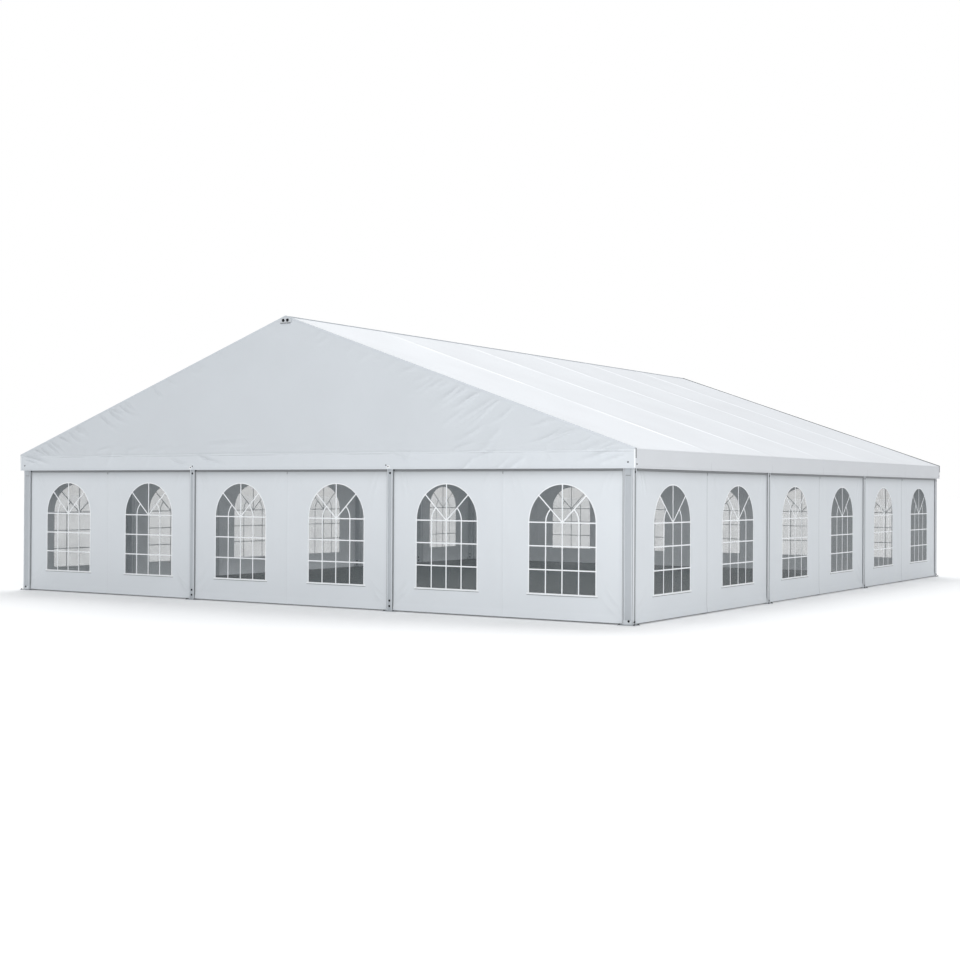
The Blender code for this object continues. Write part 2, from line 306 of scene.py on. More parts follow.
finishValues = {
    "roofPvc": {
        "color": (0.905, 0.93, 0.965),
        "roughness": 0.42,
        "specular": 0.4,
        "darkest": 0.975,
        "cloudScale": 0.7,
        "weave": 150.0,
        "creaseScale": 1.4,
        "bump": 0.35,
        # painted light on the roof cloth: keder shade and highlight bands, darker later bays and a darker valance
        "bayShade": [(0.0, 0.915), (1.0, 0.965), (0.012, 0.915), (0.022, 0.935), (0.12, 0.955), (0.55, 0.965)],
        "jointShine": 0.022,
        "streaks": 0.14,
        "laterBaysShade": 0.985,
        "valance": 0.77,
        "tick": 0.70,
    },
    "wallPvc": {
        "color": (0.705, 0.74, 0.775),
        "roughness": 0.45,
        "specular": 0.4,
        "darkest": 0.97,
        "cloudScale": 0.9,
        "weave": 150.0,
        "creaseScale": 1.8,
        "bump": 0.45,
        "upper": 0.94,
    },
    "curtainPvc": {
        "color": (0.752, 0.785, 0.817),
        "roughness": 0.45,
        "specular": 0.4,
        "darkest": 0.97,
        "cloudScale": 0.9,
        "weave": 150.0,
        "creaseScale": 1.8,
        "bump": 0.45,
        "hem": 0.15,
        "plain": 0.985,
        "seam": 0.005,
        "seamShade": 0.96,
        "topShade": [(2.36, 1.0), (2.44, 0.97), (2.50, 0.91), (2.55, 0.80), (2.60, 0.66)],
    },
    "weltPvc": {
        "color": (0.66, 0.695, 0.73),
        "roughness": 0.45,
        "specular": 0.4,
        "darkest": 0.97,
        "cloudScale": 2.0,
        "weave": 150.0,
        "creaseScale": 6.0,
        "bump": 0.25,
    },
    "jointPvc": {
        "color": (0.36, 0.38, 0.40),
        "roughness": 0.5,
        "specular": 0.4,
        "darkest": 0.95,
        "cloudScale": 1.0,
        "weave": 150.0,
        "creaseScale": 6.0,
        "bump": 0.25,
    },
    "whiteStrip": {
        "color": (0.92, 0.94, 0.96),
        "roughness": 0.40,
        "specular": 0.4,
        "darkest": 0.97,
        "cloudScale": 2.0,
        "weave": 150.0,
        "creaseScale": 6.0,
        "bump": 0.25,
    },
    "profile": {"color": (0.71, 0.74, 0.77), "roughness": 0.40, "metallic": 0.6, "drawn": (22.0, 22.0, 0.6)},
    # a darker copy of the metal, painted shade in the recesses, and a lighter copy, a painted highlight on the legs'
    # corner lips
    "profileShade": {"color": (0.535, 0.565, 0.595), "roughness": 0.45, "metallic": 0.55, "drawn": (22.0, 22.0, 0.6)},
    "profilePaintedHighlight": {"color": (0.84, 0.86, 0.885), "roughness": 0.35, "metallic": 0.2, "drawn": (22.0, 22.0, 0.6)},
    # the dark rail colour; also painted shadow in gaps, channels and under the sill and plates
    "groundRail": {"color": (0.30, 0.31, 0.32), "roughness": 0.45, "metallic": 0.5, "drawn": (0.8, 0.8, 20.0)},
    "zincSteel": {"color": (0.52, 0.54, 0.56), "roughness": 0.45, "metallic": 0.7, "drawn": (5.0, 5.0, 5.0)},
    "bolt": {"color": (0.035, 0.037, 0.04), "roughness": 0.4, "metallic": 0.8},
    "film": {"color": (0.20, 0.225, 0.235), "roughness": 0.08, "alpha": 0.175},
    "boards": {"color": (0.038, 0.05, 0.053), "roughness": 0.62},
}
roofPvc = pvcFinish("roofPvc", finishValues["roofPvc"], kederPaintedLight)
wallPvc = pvcFinish("wallPvc", finishValues["wallPvc"], bandSeamPaintedLight)
weltPvc = pvcFinish("weltPvc", finishValues["weltPvc"], isSheet=False)
curtainPvc = pvcFinish("curtainPvc", finishValues["curtainPvc"], curtainMarksAndShade)
jointPvc = pvcFinish("jointPvc", finishValues["jointPvc"])
whiteStrip = pvcFinish("whiteStrip", finishValues["whiteStrip"], isSheet=False)
profileMetal = aluminiumFinish("profileMetal", finishValues["profile"])
profileShade = aluminiumFinish("profileShade", finishValues["profileShade"])
profilePaintedHighlight = aluminiumFinish("profilePaintedHighlight", finishValues["profilePaintedHighlight"])
# the dark rail metal, also used as painted shadow
railAndShadeMetal = aluminiumFinish("railAndShadeMetal", finishValues["groundRail"])
zincSteel = aluminiumFinish("zincSteel", finishValues["zincSteel"])
blackBolts = boltFinish(finishValues["bolt"])
clearFilm = filmFinish(finishValues["film"])
floorBoards = boardFinish(finishValues["boards"])
print("finishes mixed")


# Modelling by hand


def pickOnly(piece):
    bpy.ops.object.select_all(action="DESELECT")
    piece.select_set(True)
    bpy.context.view_layer.objects.active = piece


def settle(piece, name):
    pickOnly(piece)
    bpy.ops.object.transform_apply(location=True, rotation=True, scale=True)
    piece.name = name
    piece.data.name = name
    return piece


def addBlock(name, low, high, metal):
    low, high = Vector(low), Vector(high)
    bpy.ops.object.select_all(action="DESELECT")
    bpy.ops.mesh.primitive_cube_add(size=1, location=(low + high) / 2, scale=high - low)
    piece = settle(bpy.context.object, name)
    piece.data.materials.append(metal)
    return piece


def openMesh(piece):
    pickOnly(piece)
    bpy.ops.object.mode_set(mode="EDIT")
    bpy.ops.mesh.select_mode(type="FACE")
    bpy.ops.mesh.select_all(action="DESELECT")


def closeMesh():
    bpy.ops.object.mode_set(mode="OBJECT")


def pickFaces(piece, wanted):
    # picks the faces that wanted says, and leaves the mesh open for editing
    openMesh(piece)
    bpy.ops.object.mode_set(mode="OBJECT")
    for face in piece.data.polygons:
        face.select = wanted(face)
    bpy.ops.object.mode_set(mode="EDIT")


def applyModifier(piece, kind, settings):
    modifier = piece.modifiers.new(kind.lower(), kind)
    for name, setting in settings.items():
        setattr(modifier, name, setting)
    pickOnly(piece)
    bpy.ops.object.modifier_apply(modifier=modifier.name)
    return piece


def roundEdges(piece, width, segments=2):
    settings = {"width": width, "segments": segments, "limit_method": "ANGLE", "angle_limit": 0.6}
    return applyModifier(piece, "BEVEL", settings)


def cutAway(piece, point, normal):
    # saws off what lies on the normal's side, and closes the cut
    openMesh(piece)
    bpy.ops.mesh.select_all(action="SELECT")
    bpy.ops.mesh.bisect(plane_co=point, plane_no=normal, use_fill=True, clear_outer=True)
    closeMesh()
    return piece


def joinAll(name, pieces):
    bpy.ops.object.select_all(action="DESELECT")
    for piece in pieces:
        piece.select_set(True)
    bpy.context.view_layer.objects.active = pieces[0]
    bpy.ops.object.join()
    joined = bpy.context.object
    joined.name = joined.data.name = name
    return joined


def copyTo(piece, name, place):
    # a copy with its own mesh, which takes the place itself
    twin = piece.copy()
    twin.data = piece.data.copy()
    twin.data.transform(place)
    if place.determinant() < 0:
        twin.data.flip_normals()
    twin.name = twin.data.name = name
    bpy.context.scene.collection.objects.link(twin)
    return twin


def smoothBy(piece, degrees=35):
    pickOnly(piece)
    bpy.ops.object.shade_smooth_by_angle(angle=math.radians(degrees))
    return piece


def discard(piece):
    bpy.data.objects.remove(piece, do_unlink=True)


def finishPiece(piece, slot, *nodes):
    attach(piece, "root")
    if nodes:
        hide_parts(*nodes)
    return piece


def clothFrom(name, points, faces, flat, outward, finish):
    # one layer of cloth from its points, with its flat cut as a map in metres
    points, faces = np.asarray(points), np.asarray(faces)
    a, b, c = (points[faces[:, corner]] for corner in range(3))
    if (np.cross(b - a, c - a).sum(axis=0) * np.asarray(outward)).sum() < 0:
        faces = faces[:, ::-1]
    mesh = bpy.data.meshes.new(name)
    mesh.from_pydata(points.tolist(), [], faces.tolist())
    corners = np.empty(len(mesh.loops), np.int32)
    mesh.loops.foreach_get("vertex_index", corners)
    mesh.uv_layers.new(name="cloth").data.foreach_set("uv", np.asarray(flat)[corners].ravel())
    mesh.materials.append(finish)
    piece = bpy.data.objects.new(name, mesh)
    bpy.context.scene.collection.objects.link(piece)
    return piece


def gridFaces(rows, columns, closed=False):
    index = np.arange(rows * columns).reshape(rows, columns)
    following = np.roll(index, -1, axis=1) if closed else index[:, 1:]
    index = index if closed else index[:, :-1]
    quads = [index[:-1], following[:-1], following[1:], index[1:]]
    return np.stack(quads, axis=-1).reshape(-1, 4)


def thicken(piece, thickness):
    applyModifier(piece, "SOLIDIFY", {"thickness": thickness, "offset": -1.0})
    return smoothBy(piece, 50)


def foldLift(u, v, folds):
    # how far the cloth stands out at u, v; a fold is two ends, a half width, a height and a bend
    lift = np.zeros(np.broadcast(u, v).shape)
    for startU, startV, endU, endV, width, height, bend in folds:
        runU, runV = endU - startU, endV - startV
        length = math.hypot(runU, runV)
        along = np.clip(((u - startU) * runU + (v - startV) * runV) / length**2, 0, 1)
        across = ((u - startU) * runV - (v - startV) * runU) / length
        across = across + bend * length * np.sin(np.pi * along)
        taper = 6.75 * along * (1 - along) ** 2  # highest a third of the way along
        spread = width * (0.7 + 0.7 * along) * np.where(across > 0, 1.0, 0.6)  # one side is steeper
        lift += height * taper * np.exp(-(np.abs(across / spread) ** 1.5))
    return lift


# Fasteners

fastener = {"head": 0.015, "headHigh": 0.010, "washer": 0.021, "washerHigh": 0.003}


def modelBolt(values):
    # a hexagon head with a turned chamfer, on a washer, standing up from z = 0
    bpy.ops.object.select_all(action="DESELECT")
    low = values["washerHigh"]
    place = (0, 0, low + values["headHigh"] / 2)
    bpy.ops.mesh.primitive_cylinder_add(vertices=6, radius=values["head"], depth=values["headHigh"], location=place)
    head = settle(bpy.context.object, "head")
    pickFaces(head, lambda face: face.normal.z > 0.9)
    bpy.ops.mesh.inset(thickness=values["head"] * 0.22, depth=values["headHigh"] * 0.2)
    closeMesh()
    bpy.ops.object.select_all(action="DESELECT")
    bpy.ops.mesh.primitive_cylinder_add(vertices=16, radius=values["washer"], depth=low, location=(0, 0, low / 2))
    washer = settle(bpy.context.object, "washer")
    pickFaces(washer, lambda face: face.normal.z > 0.9)
    bpy.ops.mesh.inset(thickness=0.002, depth=0.0006)
    closeMesh()
    bolt = joinAll("bolt", [head, washer])
    bolt.data.materials.append(blackBolts)
    return bolt


bolt = modelBolt(fastener)
towards = {"-y": Matrix.Rotation(math.pi / 2, 4, "X"), "+y": Matrix.Rotation(-math.pi / 2, 4, "X")}
towards.update({"+x": Matrix.Rotation(math.pi / 2, 4, "Y"), "-x": Matrix.Rotation(-math.pi / 2, 4, "Y")})
towards["+z"] = Matrix.Identity(4)


def boltsAt(places, direction, size=1.0):
    return [
        copyTo(bolt, "boltCopy", Matrix.Translation(place) @ towards[direction] @ Matrix.Scale(size, 4))
        for place in places
    ]


# Roof covers: one curved sheet a bay, from valance to valance

roofCover = {
    "ridgeRadius": 0.03,
    "eaveRadius": 0.03,
    "slopeSteps": 64,
    "baySteps": 30,
    "purlinX": 3.75,
    "sag": 0.034,  # between the purlins, in the middle of a bay
    "kederBulge": 0.008,  # over the rafter
    "kederWidth": 0.075,
    "valanceBulge": 0.001,
    "flap": 0.035,  # that laps the next bay's cover
    "flapLift": 0.003,
    "hem": 0.040,
    "hemLift": 0.0015,
    "beadLift": 0.006,  # cord in the valance's foot
    "beadWidth": 0.009,
    "wave": 0.007,  # of the loose valance
}


def roofLine(values):
    # from the ridge down to the right valance's foot: x, z and the outward direction
    ridge, eave = values["ridgeRadius"], values["eaveRadius"]
    line = []
    for step in range(4):
        angle = tilt * step / 3
        top = tent["ridgeZ"] - ridge / math.cos(tilt)
        line.append((ridge * math.sin(angle), top + ridge * math.cos(angle), angle))
    endX = tent["eaveX"] - eave + eave * math.sin(tilt)
    for step in range(1, values["slopeSteps"]):
        x = ridge * math.sin(tilt) + (endX - ridge * math.sin(tilt)) * step / values["slopeSteps"]
        line.append((x, roofOuter(x), tilt))
    middleX, middleZ = tent["eaveX"] - eave, roofOuter(endX) - eave * math.cos(tilt)
    for step in range(6):
        angle = tilt + (math.pi / 2 - tilt) * step / 5
        line.append((middleX + eave * math.sin(angle), middleZ + eave * math.cos(angle), angle))
    foot, hem, bead = tent["valanceZ"], values["hem"], values["beadWidth"]
    drop = list(np.linspace(middleZ, foot + hem + 0.006, 8))[1:]
    drop += [foot + hem + 0.002, foot + hem - 0.002, foot + 3 * bead]
    drop += [foot + bead * share for share in (2.2, 1.6, 1.2, 0.8, 0.5, 0.2, 0.0)]
    line += [(tent["eaveX"], z, math.pi / 2) for z in drop]
    return np.array(line)


def coverLift(values, x, z, y, start, end, chance):
    # how far a roof cover stands off its plain shape, along its outward direction
    t = (y - start) / (end - start)
    between = np.sin(np.pi * (np.abs(x) % values["purlinX"]) / values["purlinX"]) ** 2
    slopeShare = np.clip((z - tent["eaveZ"] - 0.05) / 0.1, 0, 1)
    lift = -values["sag"] * 4 * t * (1 - t) * between * slopeShare
    bulge = values["valanceBulge"] + (values["kederBulge"] - values["valanceBulge"]) * slopeShare
    lastRafter = bayLines[-1]
    bulge = bulge * np.clip((tent["gableY"] - np.abs(y)) / (tent["gableY"] - lastRafter), 0, 1)
    bulge = bulge * np.clip((np.abs(x) - 0.05) / 0.4, 0, 1)
    for edge in (start, end):
        lift = lift + bulge * np.exp(-np.abs((y - edge) / values["kederWidth"]) ** 1.3)
    loose = np.clip((tent["eaveZ"] - 0.04 - z) / 0.3, 0, 1)
    swing = np.sin(2 * np.pi * (t * 2.6 + chance)) + 0.5 * np.sin(2 * np.pi * (t * 5.3 + 3 * chance))
    lift = lift + values["wave"] * loose * swing * np.sin(np.pi * np.clip(t, 0, 1))
    foot = tent["valanceZ"]
    lift = lift + np.where(z < foot + values["hem"], values["hemLift"], 0)
    bead = np.exp(-(((z - foot - values["beadWidth"]) / values["beadWidth"]) ** 2))
    return lift + values["beadLift"] * bead


def roofCoverSheet(number, values):
    start, end = bayLines[number - 1], bayLines[number]
    first, last = number == 1, number == tent["bays"]
    low = -tent["gableY"] if first else start + 0.002
    high = tent["gableY"] if last else end + values["flap"]
    inner = np.linspace(start + 0.20, end - 0.20, values["baySteps"])
    fine = [0.002, 0.015, 0.03, 0.045, 0.07, 0.10, 0.13, 0.165]
    stations = [start + step for step in fine] + list(inner) + [end - step for step in fine[1:]] + [end]
    if first:
        stations = [low, low + 0.03, start - 0.045, start - 0.02] + stations[1:]
    stations += [high - 0.03, high] if last else [end + 0.012, end + 0.024, high]
    y = np.array(sorted(stations))
    half = roofLine(values)
    left = half[:0:-1] * [-1, 1, -1]
    line = np.concatenate([left, half])
    along = np.concatenate([[0], np.cumsum(np.hypot(*np.diff(line[:, :2], axis=0).T))])
    x, z, angle = (column[:, None] for column in line.T)
    lift = coverLift(values, x, z, y[None, :], start, end, 0.37 * number)
    lift = lift + np.where(y[None, :] > end - 0.03, values["flapLift"] * (not last), 0)
    points = np.stack([x + np.sin(angle) * lift, y[None, :] + 0 * x, z + np.cos(angle) * lift], axis=-1)
    fromRidge = along - along[-1] / 2
    flat = np.stack([fromRidge[:, None] + 0 * lift, y[None, :] + 0 * x], axis=-1)
    name = f"roofCover{number}"
    piece = clothFrom(
        name, points.reshape(-1, 3), gridFaces(*lift.shape), flat.reshape(-1, 2), (0, 0, 1), roofPvc
    )
    thicken(piece, tent["cloth"])
    finishPiece(piece, "roof_pvc", f"roof_cover_{number}")
    high - low


for number in range(1, tent["bays"] + 1):
    roofCoverSheet(number, roofCover)
print("roof covers laid")

# Gable covers: a triangle over a band, with folds pulled out of the rakes

edgeStrip = {"wide": 0.025, "thick": 0.004, "stitch": 0.007, "proud": 0.0006, "rakeWide": 0.014, "rakeHigh": 0.020}

gableCover = {
    "cells": (0.024, 0.045),  # across, beside and under the ridge
    "fineFrom": 2.8,
    "bandRows": 14,
    "upperRows": 58,
    "inset": 0.0043,  # of the side edges, inside the roof cover
    "seamLift": 0.002,
    "seamHigh": 0.030,
    "slack": 0.016,
    "hem": 0.040,
    "hemLift": 0.0015,
    "beadLift": 0.006,
    "beadWidth": 0.009,
    # folds from the rakes: side, reach along x, how many, distance below the rake, length,
    # degrees below level, half width, height
    "rakeFolds": [
        (1, (3.10, 4.30), 7, (0.00, 0.10), (0.35, 0.80), (12, 26), (0.026, 0.044), (0.012, 0.022)),
        (1, (4.00, 5.20), 8, (0.00, 0.14), (0.60, 1.20), (26, 38), (0.030, 0.050), (0.014, 0.026)),
        (1, (4.10, 5.60), 9, (0.45, 1.30), (0.50, 1.10), (24, 36), (0.040, 0.070), (0.014, 0.026)),
        (1, (5.75, 7.25), 10, (0.00, 0.10), (0.45, 1.10), (12, 22), (0.022, 0.036), (0.011, 0.019)),
        (1, (0.70, 2.90), 6, (0.00, 0.10), (0.25, 0.60), (16, 40), (0.026, 0.044), (0.008, 0.015)),
        (-1, (6.30, 7.10), 5, (0.00, 0.06), (0.35, 0.75), (20, 32), (0.024, 0.036), (0.020, 0.032)),
        (-1, (5.60, 6.20), 3, (0.00, 0.06), (0.30, 0.65), (14, 28), (0.028, 0.040), (0.018, 0.030)),
        (-1, (4.30, 5.10), 5, (0.00, 0.06), (0.40, 0.80), (20, 34), (0.026, 0.040), (0.022, 0.036)),
        (-1, (1.50, 3.60), 5, (0.00, 0.06), (0.25, 0.50), (16, 34), (0.026, 0.040), (0.014, 0.024)),
    ],
    # folds of the band and above its seam: from x and z to x and z, and how strong
    "bandFolds": [
        (7.36, 2.95, 6.45, 2.68, 1.0),
        (7.40, 2.86, 6.75, 2.66, 1.0),
        (7.15, 2.94, 6.30, 2.72, 1.0),
        (4.83, 2.94, 4.25, 2.76, 1.0),
        (2.60, 2.93, 3.25, 2.74, 1.0),
        (-2.30, 2.94, -1.35, 2.69, 1.8),
        (-2.55, 2.72, -3.20, 2.93, 1.4),
        (-7.44, 2.94, -6.45, 2.72, 2.0),
        (-7.40, 2.86, -6.85, 2.68, 1.8),
        (3.90, 2.97, 4.55, 3.15, 1.0),
        (-2.10, 3.13, -0.60, 3.17, 1.3),
    ],
}


def between(limits, chance):
    return chance.uniform(*limits)


def rakeFolds(values, chance):
    # each fold starts at the rake, or below it, and runs down towards the middle
    folds = []
    for side, (low, high), count, below, long, steep, wide, lift in values["rakeFolds"]:
        for number in range(count):
            x = low + (high - low) * (number + 0.9 * chance.random()) / count
            z, length = roofOuter(x) - between(below, chance), between(long, chance)
            angle = math.radians(between(steep, chance))
            alongX, alongZ = -math.cos(angle), -math.sin(angle)
            start = (side * (x - 0.12 * length * alongX), z - 0.12 * length * alongZ)
            end = (side * (x + length * alongX), z + length * alongZ)
            bend = side * chance.uniform(-0.03, 0.11)
            folds.append((*start, *end, between(wide, chance), between(lift, chance), bend))
    return folds


def bandFolds(values, chance):
    folds = []
    for *ends, strength in values["bandFolds"]:
        wide, lift = between((0.026, 0.040), chance), strength * between((0.019, 0.029), chance)
        folds.append((*ends, wide, lift, chance.uniform(-0.05, 0.05)))
    for number in range(26):  # and slack waves that lean either way
        x = chance.uniform(-7.1, 7.1)
        lean = chance.uniform(-0.5, 0.5)
        folds.append((x, 3.10, x + lean, 2.55, chance.uniform(0.04, 0.09), chance.uniform(0.004, 0.009), 0.05))
    for number in range(12):  # broad ones above the seam
        x = chance.uniform(-5.5, 5.0)
        long = chance.uniform(0.5, 1.1)
        shape = chance.uniform(0.03, 0.06), chance.uniform(0.004, 0.010)
        folds.append((x, 3.02, x + long, 3.02 + 0.12 * long, *shape, 0.04))
    return folds


def gableColumns(values, edge):
    fine, coarse = values["cells"]
    middle = values["fineFrom"]
    outer = np.linspace(middle, edge, round((edge - middle) / fine) + 1)
    inner = np.linspace(0, middle, round(middle / coarse), endpoint=False)
    half = np.concatenate([inner, outer])
    return np.concatenate([-half[:0:-1], half])


def gableCoverSheet(end, turn, seed, values):
    chance = random.Random(seed)
    edge, foot = tent["eaveX"] - values["inset"], tent["valanceZ"]
    seamZ = tent["eaveZ"] - 0.01
    seamLow = seamZ - values["seamHigh"]
    x = gableColumns(values, edge)
    top = np.maximum(rafterTop(0) - slope * np.abs(x), seamZ + 0.004)
    bead = values["beadWidth"]
    band = [foot + bead * share for share in (0.0, 0.2, 0.5, 0.8, 1.2, 1.6, 2.2, 3.0)]
    band += [foot + values["hem"] - 0.002, foot + values["hem"] + 0.002]
    band += list(np.linspace(foot + values["hem"] + 0.02, seamLow - 0.004, values["bandRows"]))
    band += [seamLow, seamZ - 0.002]
    share = np.linspace(0, 1, values["upperRows"] + 1)[:, None]
    upper = seamZ + share * (top - seamZ)[None, :]
    z = np.concatenate([np.repeat(np.array(band)[:, None], len(x), axis=1), upper])
    x = np.repeat(x[None, :], len(z), axis=0)
    lift = foldLift(x, z, rakeFolds(values, chance) + bandFolds(values, chance))
    lift *= np.clip((top - z - edgeStrip["rakeWide"]) / 0.06, 0, 1)
    lift *= np.clip((edge - np.abs(x) - edgeStrip["wide"]) / 0.06, 0, 1)
    ripple = 1 + np.sin(0.9 * x + 1.3 * seed) * np.sin(1.7 * z + seed)
    free = np.clip((z - seamZ) / 0.5, 0, 1) * np.clip((top - z) / 0.5, 0, 1)
    lift += values["slack"] * 0.5 * ripple * free
    lift += np.where((z > seamLow - 0.001) & (z < seamZ), values["seamLift"], 0)
    lift += np.where(z < foot + values["hem"], values["hemLift"], 0)
    lift += values["beadLift"] * np.exp(-(((z - foot - bead) / bead) ** 2))
    points = np.stack([x, -tent["gableY"] - lift, z], axis=-1).reshape(-1, 3)
    flat = np.stack([x, z], axis=-1).reshape(-1, 2)
    name = f"gableCover{end.title()}"
    piece = clothFrom(name, points, gridFaces(*lift.shape), flat, (0, -1, 0), wallPvc)
    piece.data.transform(Matrix.Rotation(turn, 4, "Z"))
    thicken(piece, tent["cloth"])
    finishPiece(piece, "wall_pvc", f"gable_cover_{end}")


gableCoverSheet("front", 0.0, 4, gableCover)
gableCoverSheet("back", math.pi, 9, gableCover)
print("gable covers hung")

# Wall curtains with two arched windows each; every wall is made as if it faced -Y, then turned

windowCut = {"lap": 0.045, "gableWidth": 1.31, "sideWidth": 1.47, "spring": 1.70}
curtain = {
    "sillSteps": 20,
    "jambSteps": 18,
    "archSteps": 32,
    "cell": 0.030,
    "foot": 0.027,
    "top": 2.70,
    "billow": 0.008,
    "slack": 0.0035,  # of the upright slack waves
    "flare": 0.020,  # of the hem, outwards
    "flareHigh": 0.20,
    "seamLap": 0.022,
    "jointHalf": 0.006,  # of the dark line down the middle of a side curtain
    "seamLift": 0.0012,
}
glazing = {
    "bar": 0.022,
    "thick": 0.0022,
    "border": 0.020,
    "sillHigh": 0.026,
    "sillProud": 0.010,
    "sillLap": 0.046,
    "dripHigh": 0.010,
    "rings": 9,
    "film": 0.001,
    "lap": 0.010,  # of the film on the curtain, under the border
    "inward": 0.028,  # each window's middle, towards the curtain's own middle
}


def archRing(window, grow=0.0):
    # round the window from its lower left corner, anticlockwise as seen from outside
    left, right = window["middle"] - window["half"] - grow, window["middle"] + window["half"] + grow
    sill, spring, rise = window["sill"] - grow, window["spring"], window["rise"] + grow
    bottom = np.linspace(left, right, curtain["sillSteps"], endpoint=False)
    jamb = np.linspace(sill, spring, curtain["jambSteps"], endpoint=False)
    turn = np.linspace(0, np.pi, curtain["archSteps"], endpoint=False)
    u = np.concatenate([bottom, right + 0 * jamb, window["middle"] + (window["half"] + grow) * np.cos(turn), left + 0 * jamb])
    z = np.concatenate([sill + 0 * bottom, jamb, spring + rise * np.sin(turn), spring - (jamb - sill)])
    return np.stack([u, z], axis=-1)


def wallLift(wall, u, z):
    # billow, slack and pulled creases, the same for the cloth, the film and the bars
    width = wall["high"] - wall["low"]
    share = np.clip((u - wall["low"]) / width, 0, 1)
    height = np.clip(z / curtain["top"], 0, 1)
    chance = wall["chance"]
    waves = np.sin(2 * np.pi * (1.5 * share + chance)) + 0.6 * np.sin(2 * np.pi * (3.1 * share + 2 * chance))
    lift = curtain["billow"] * waves * np.sin(np.pi * share) * np.sin(np.pi * height) ** 0.5
    slack = np.sin(2 * np.pi * (u / 0.47 + 0.25 * z + 3 * chance)) * np.sin(2 * np.pi * (u / 1.9 + chance))
    slack = curtain["slack"] * slack * np.sin(np.pi * share) * np.sin(np.pi * height)
    lift += curtain["flare"] * np.clip(1 - z / curtain["flareHigh"], 0, 1) ** 1.6
    away = np.full(np.broadcast(u, z).shape, 9.0)
    for window in wall["windows"]:
        beside = np.abs(u - window["middle"]) - window["half"]
        above = z - window["spring"] - window["rise"]
        away = np.minimum(away, np.maximum(np.maximum(beside, window["sill"] - z), above))
    lift += slack * np.clip((away - 0.06) / 0.15, 0, 1)
    return lift + foldLift(u, z, wall["folds"]) * np.clip((away - 0.025) / 0.05, 0, 1)


def curtainFolds(low, high, chance):
    # pulled creases: steep under the top corners, and out to the lower corners
    folds = []
    middle = (low + high) / 2
    for corner, inward, strength in ((low, 1, 1.0), (middle, 1, 0.6), (high, -1, 0.6), (middle, -1, 0.4)):
        for number in range(2):
            start = corner + inward * (0.10 + 0.10 * number + 0.04 * chance.random())
            reach, drop = chance.uniform(0.16, 0.30), chance.uniform(0.45, 0.80)
            height = strength * chance.uniform(0.015, 0.022)
            end = (start + inward * reach, 2.60 - drop)
            folds.append((start, 2.66, *end, chance.uniform(0.020, 0.032), height, 0.05 * inward))
    for corner, inward, strength in ((high, -1, 1.0), (low, 1, 0.7)):
        for number in range(2):
            reach, rise = chance.uniform(0.42, 0.60), chance.uniform(0.50, 0.66)
            start = corner - inward * 0.03
            height = strength * chance.uniform(0.015, 0.023)
            foot = 0.04 + 0.16 * number
            end = (corner + inward * reach, foot + rise)
            folds.append((start, foot, *end, chance.uniform(0.022, 0.034), height, -0.05 * inward))
    for number in range(3):  # short ones along the hem
        start = chance.uniform(low + 0.5, high - 0.8)
        end = (start + chance.uniform(0.3, 0.6), chance.uniform(0.14, 0.3))
        folds.append((start, 0.06, *end, 0.03, 0.007, 0.05))
    return folds


def placeOnWall(piece, wall):
    # stands each point off by the wall's lift, then turns the piece to its wall
    count = len(piece.data.vertices)
    points = np.empty(count * 3)
    piece.data.vertices.foreach_get("co", points)
    points = points.reshape(-1, 3)
    points[:, 1] += wall["face"] - wallLift(wall, points[:, 0], points[:, 2])
    piece.data.vertices.foreach_set("co", points.ravel())
    piece.data.transform(wall["turn"])
    piece.data.update()
    return piece


def windowsOf(wall, filmNode, width):
    low, high = localBox(filmNode, wall["turn"])
    lap, half = windowCut["lap"], width / 2
    spring = windowCut["spring"]
    window = {"half": half, "sill": low.z + lap, "spring": spring, "rise": high.z - lap - spring}
    inset = lap + half + glazing["inward"]
    return [dict(window, middle=middle) for middle in (low.x + inset, high.x - inset)]


def localBox(node, turn):
    # a node's box, turned back to the wall that faces -Y
    corners = [turn.inverted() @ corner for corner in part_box(node)]
    low = Vector(map(min, *corners))
    high = Vector(map(max, *corners))
    return low, high


def evenly(stops):
    # the stops, with even steps of about a cell between them
    places = [stops[0]]
    for low, high in zip(stops, stops[1:]):
        places += list(np.linspace(low, high, max(1, round((high - low) / curtain["cell"])) + 1))[1:]
    return np.array(places)


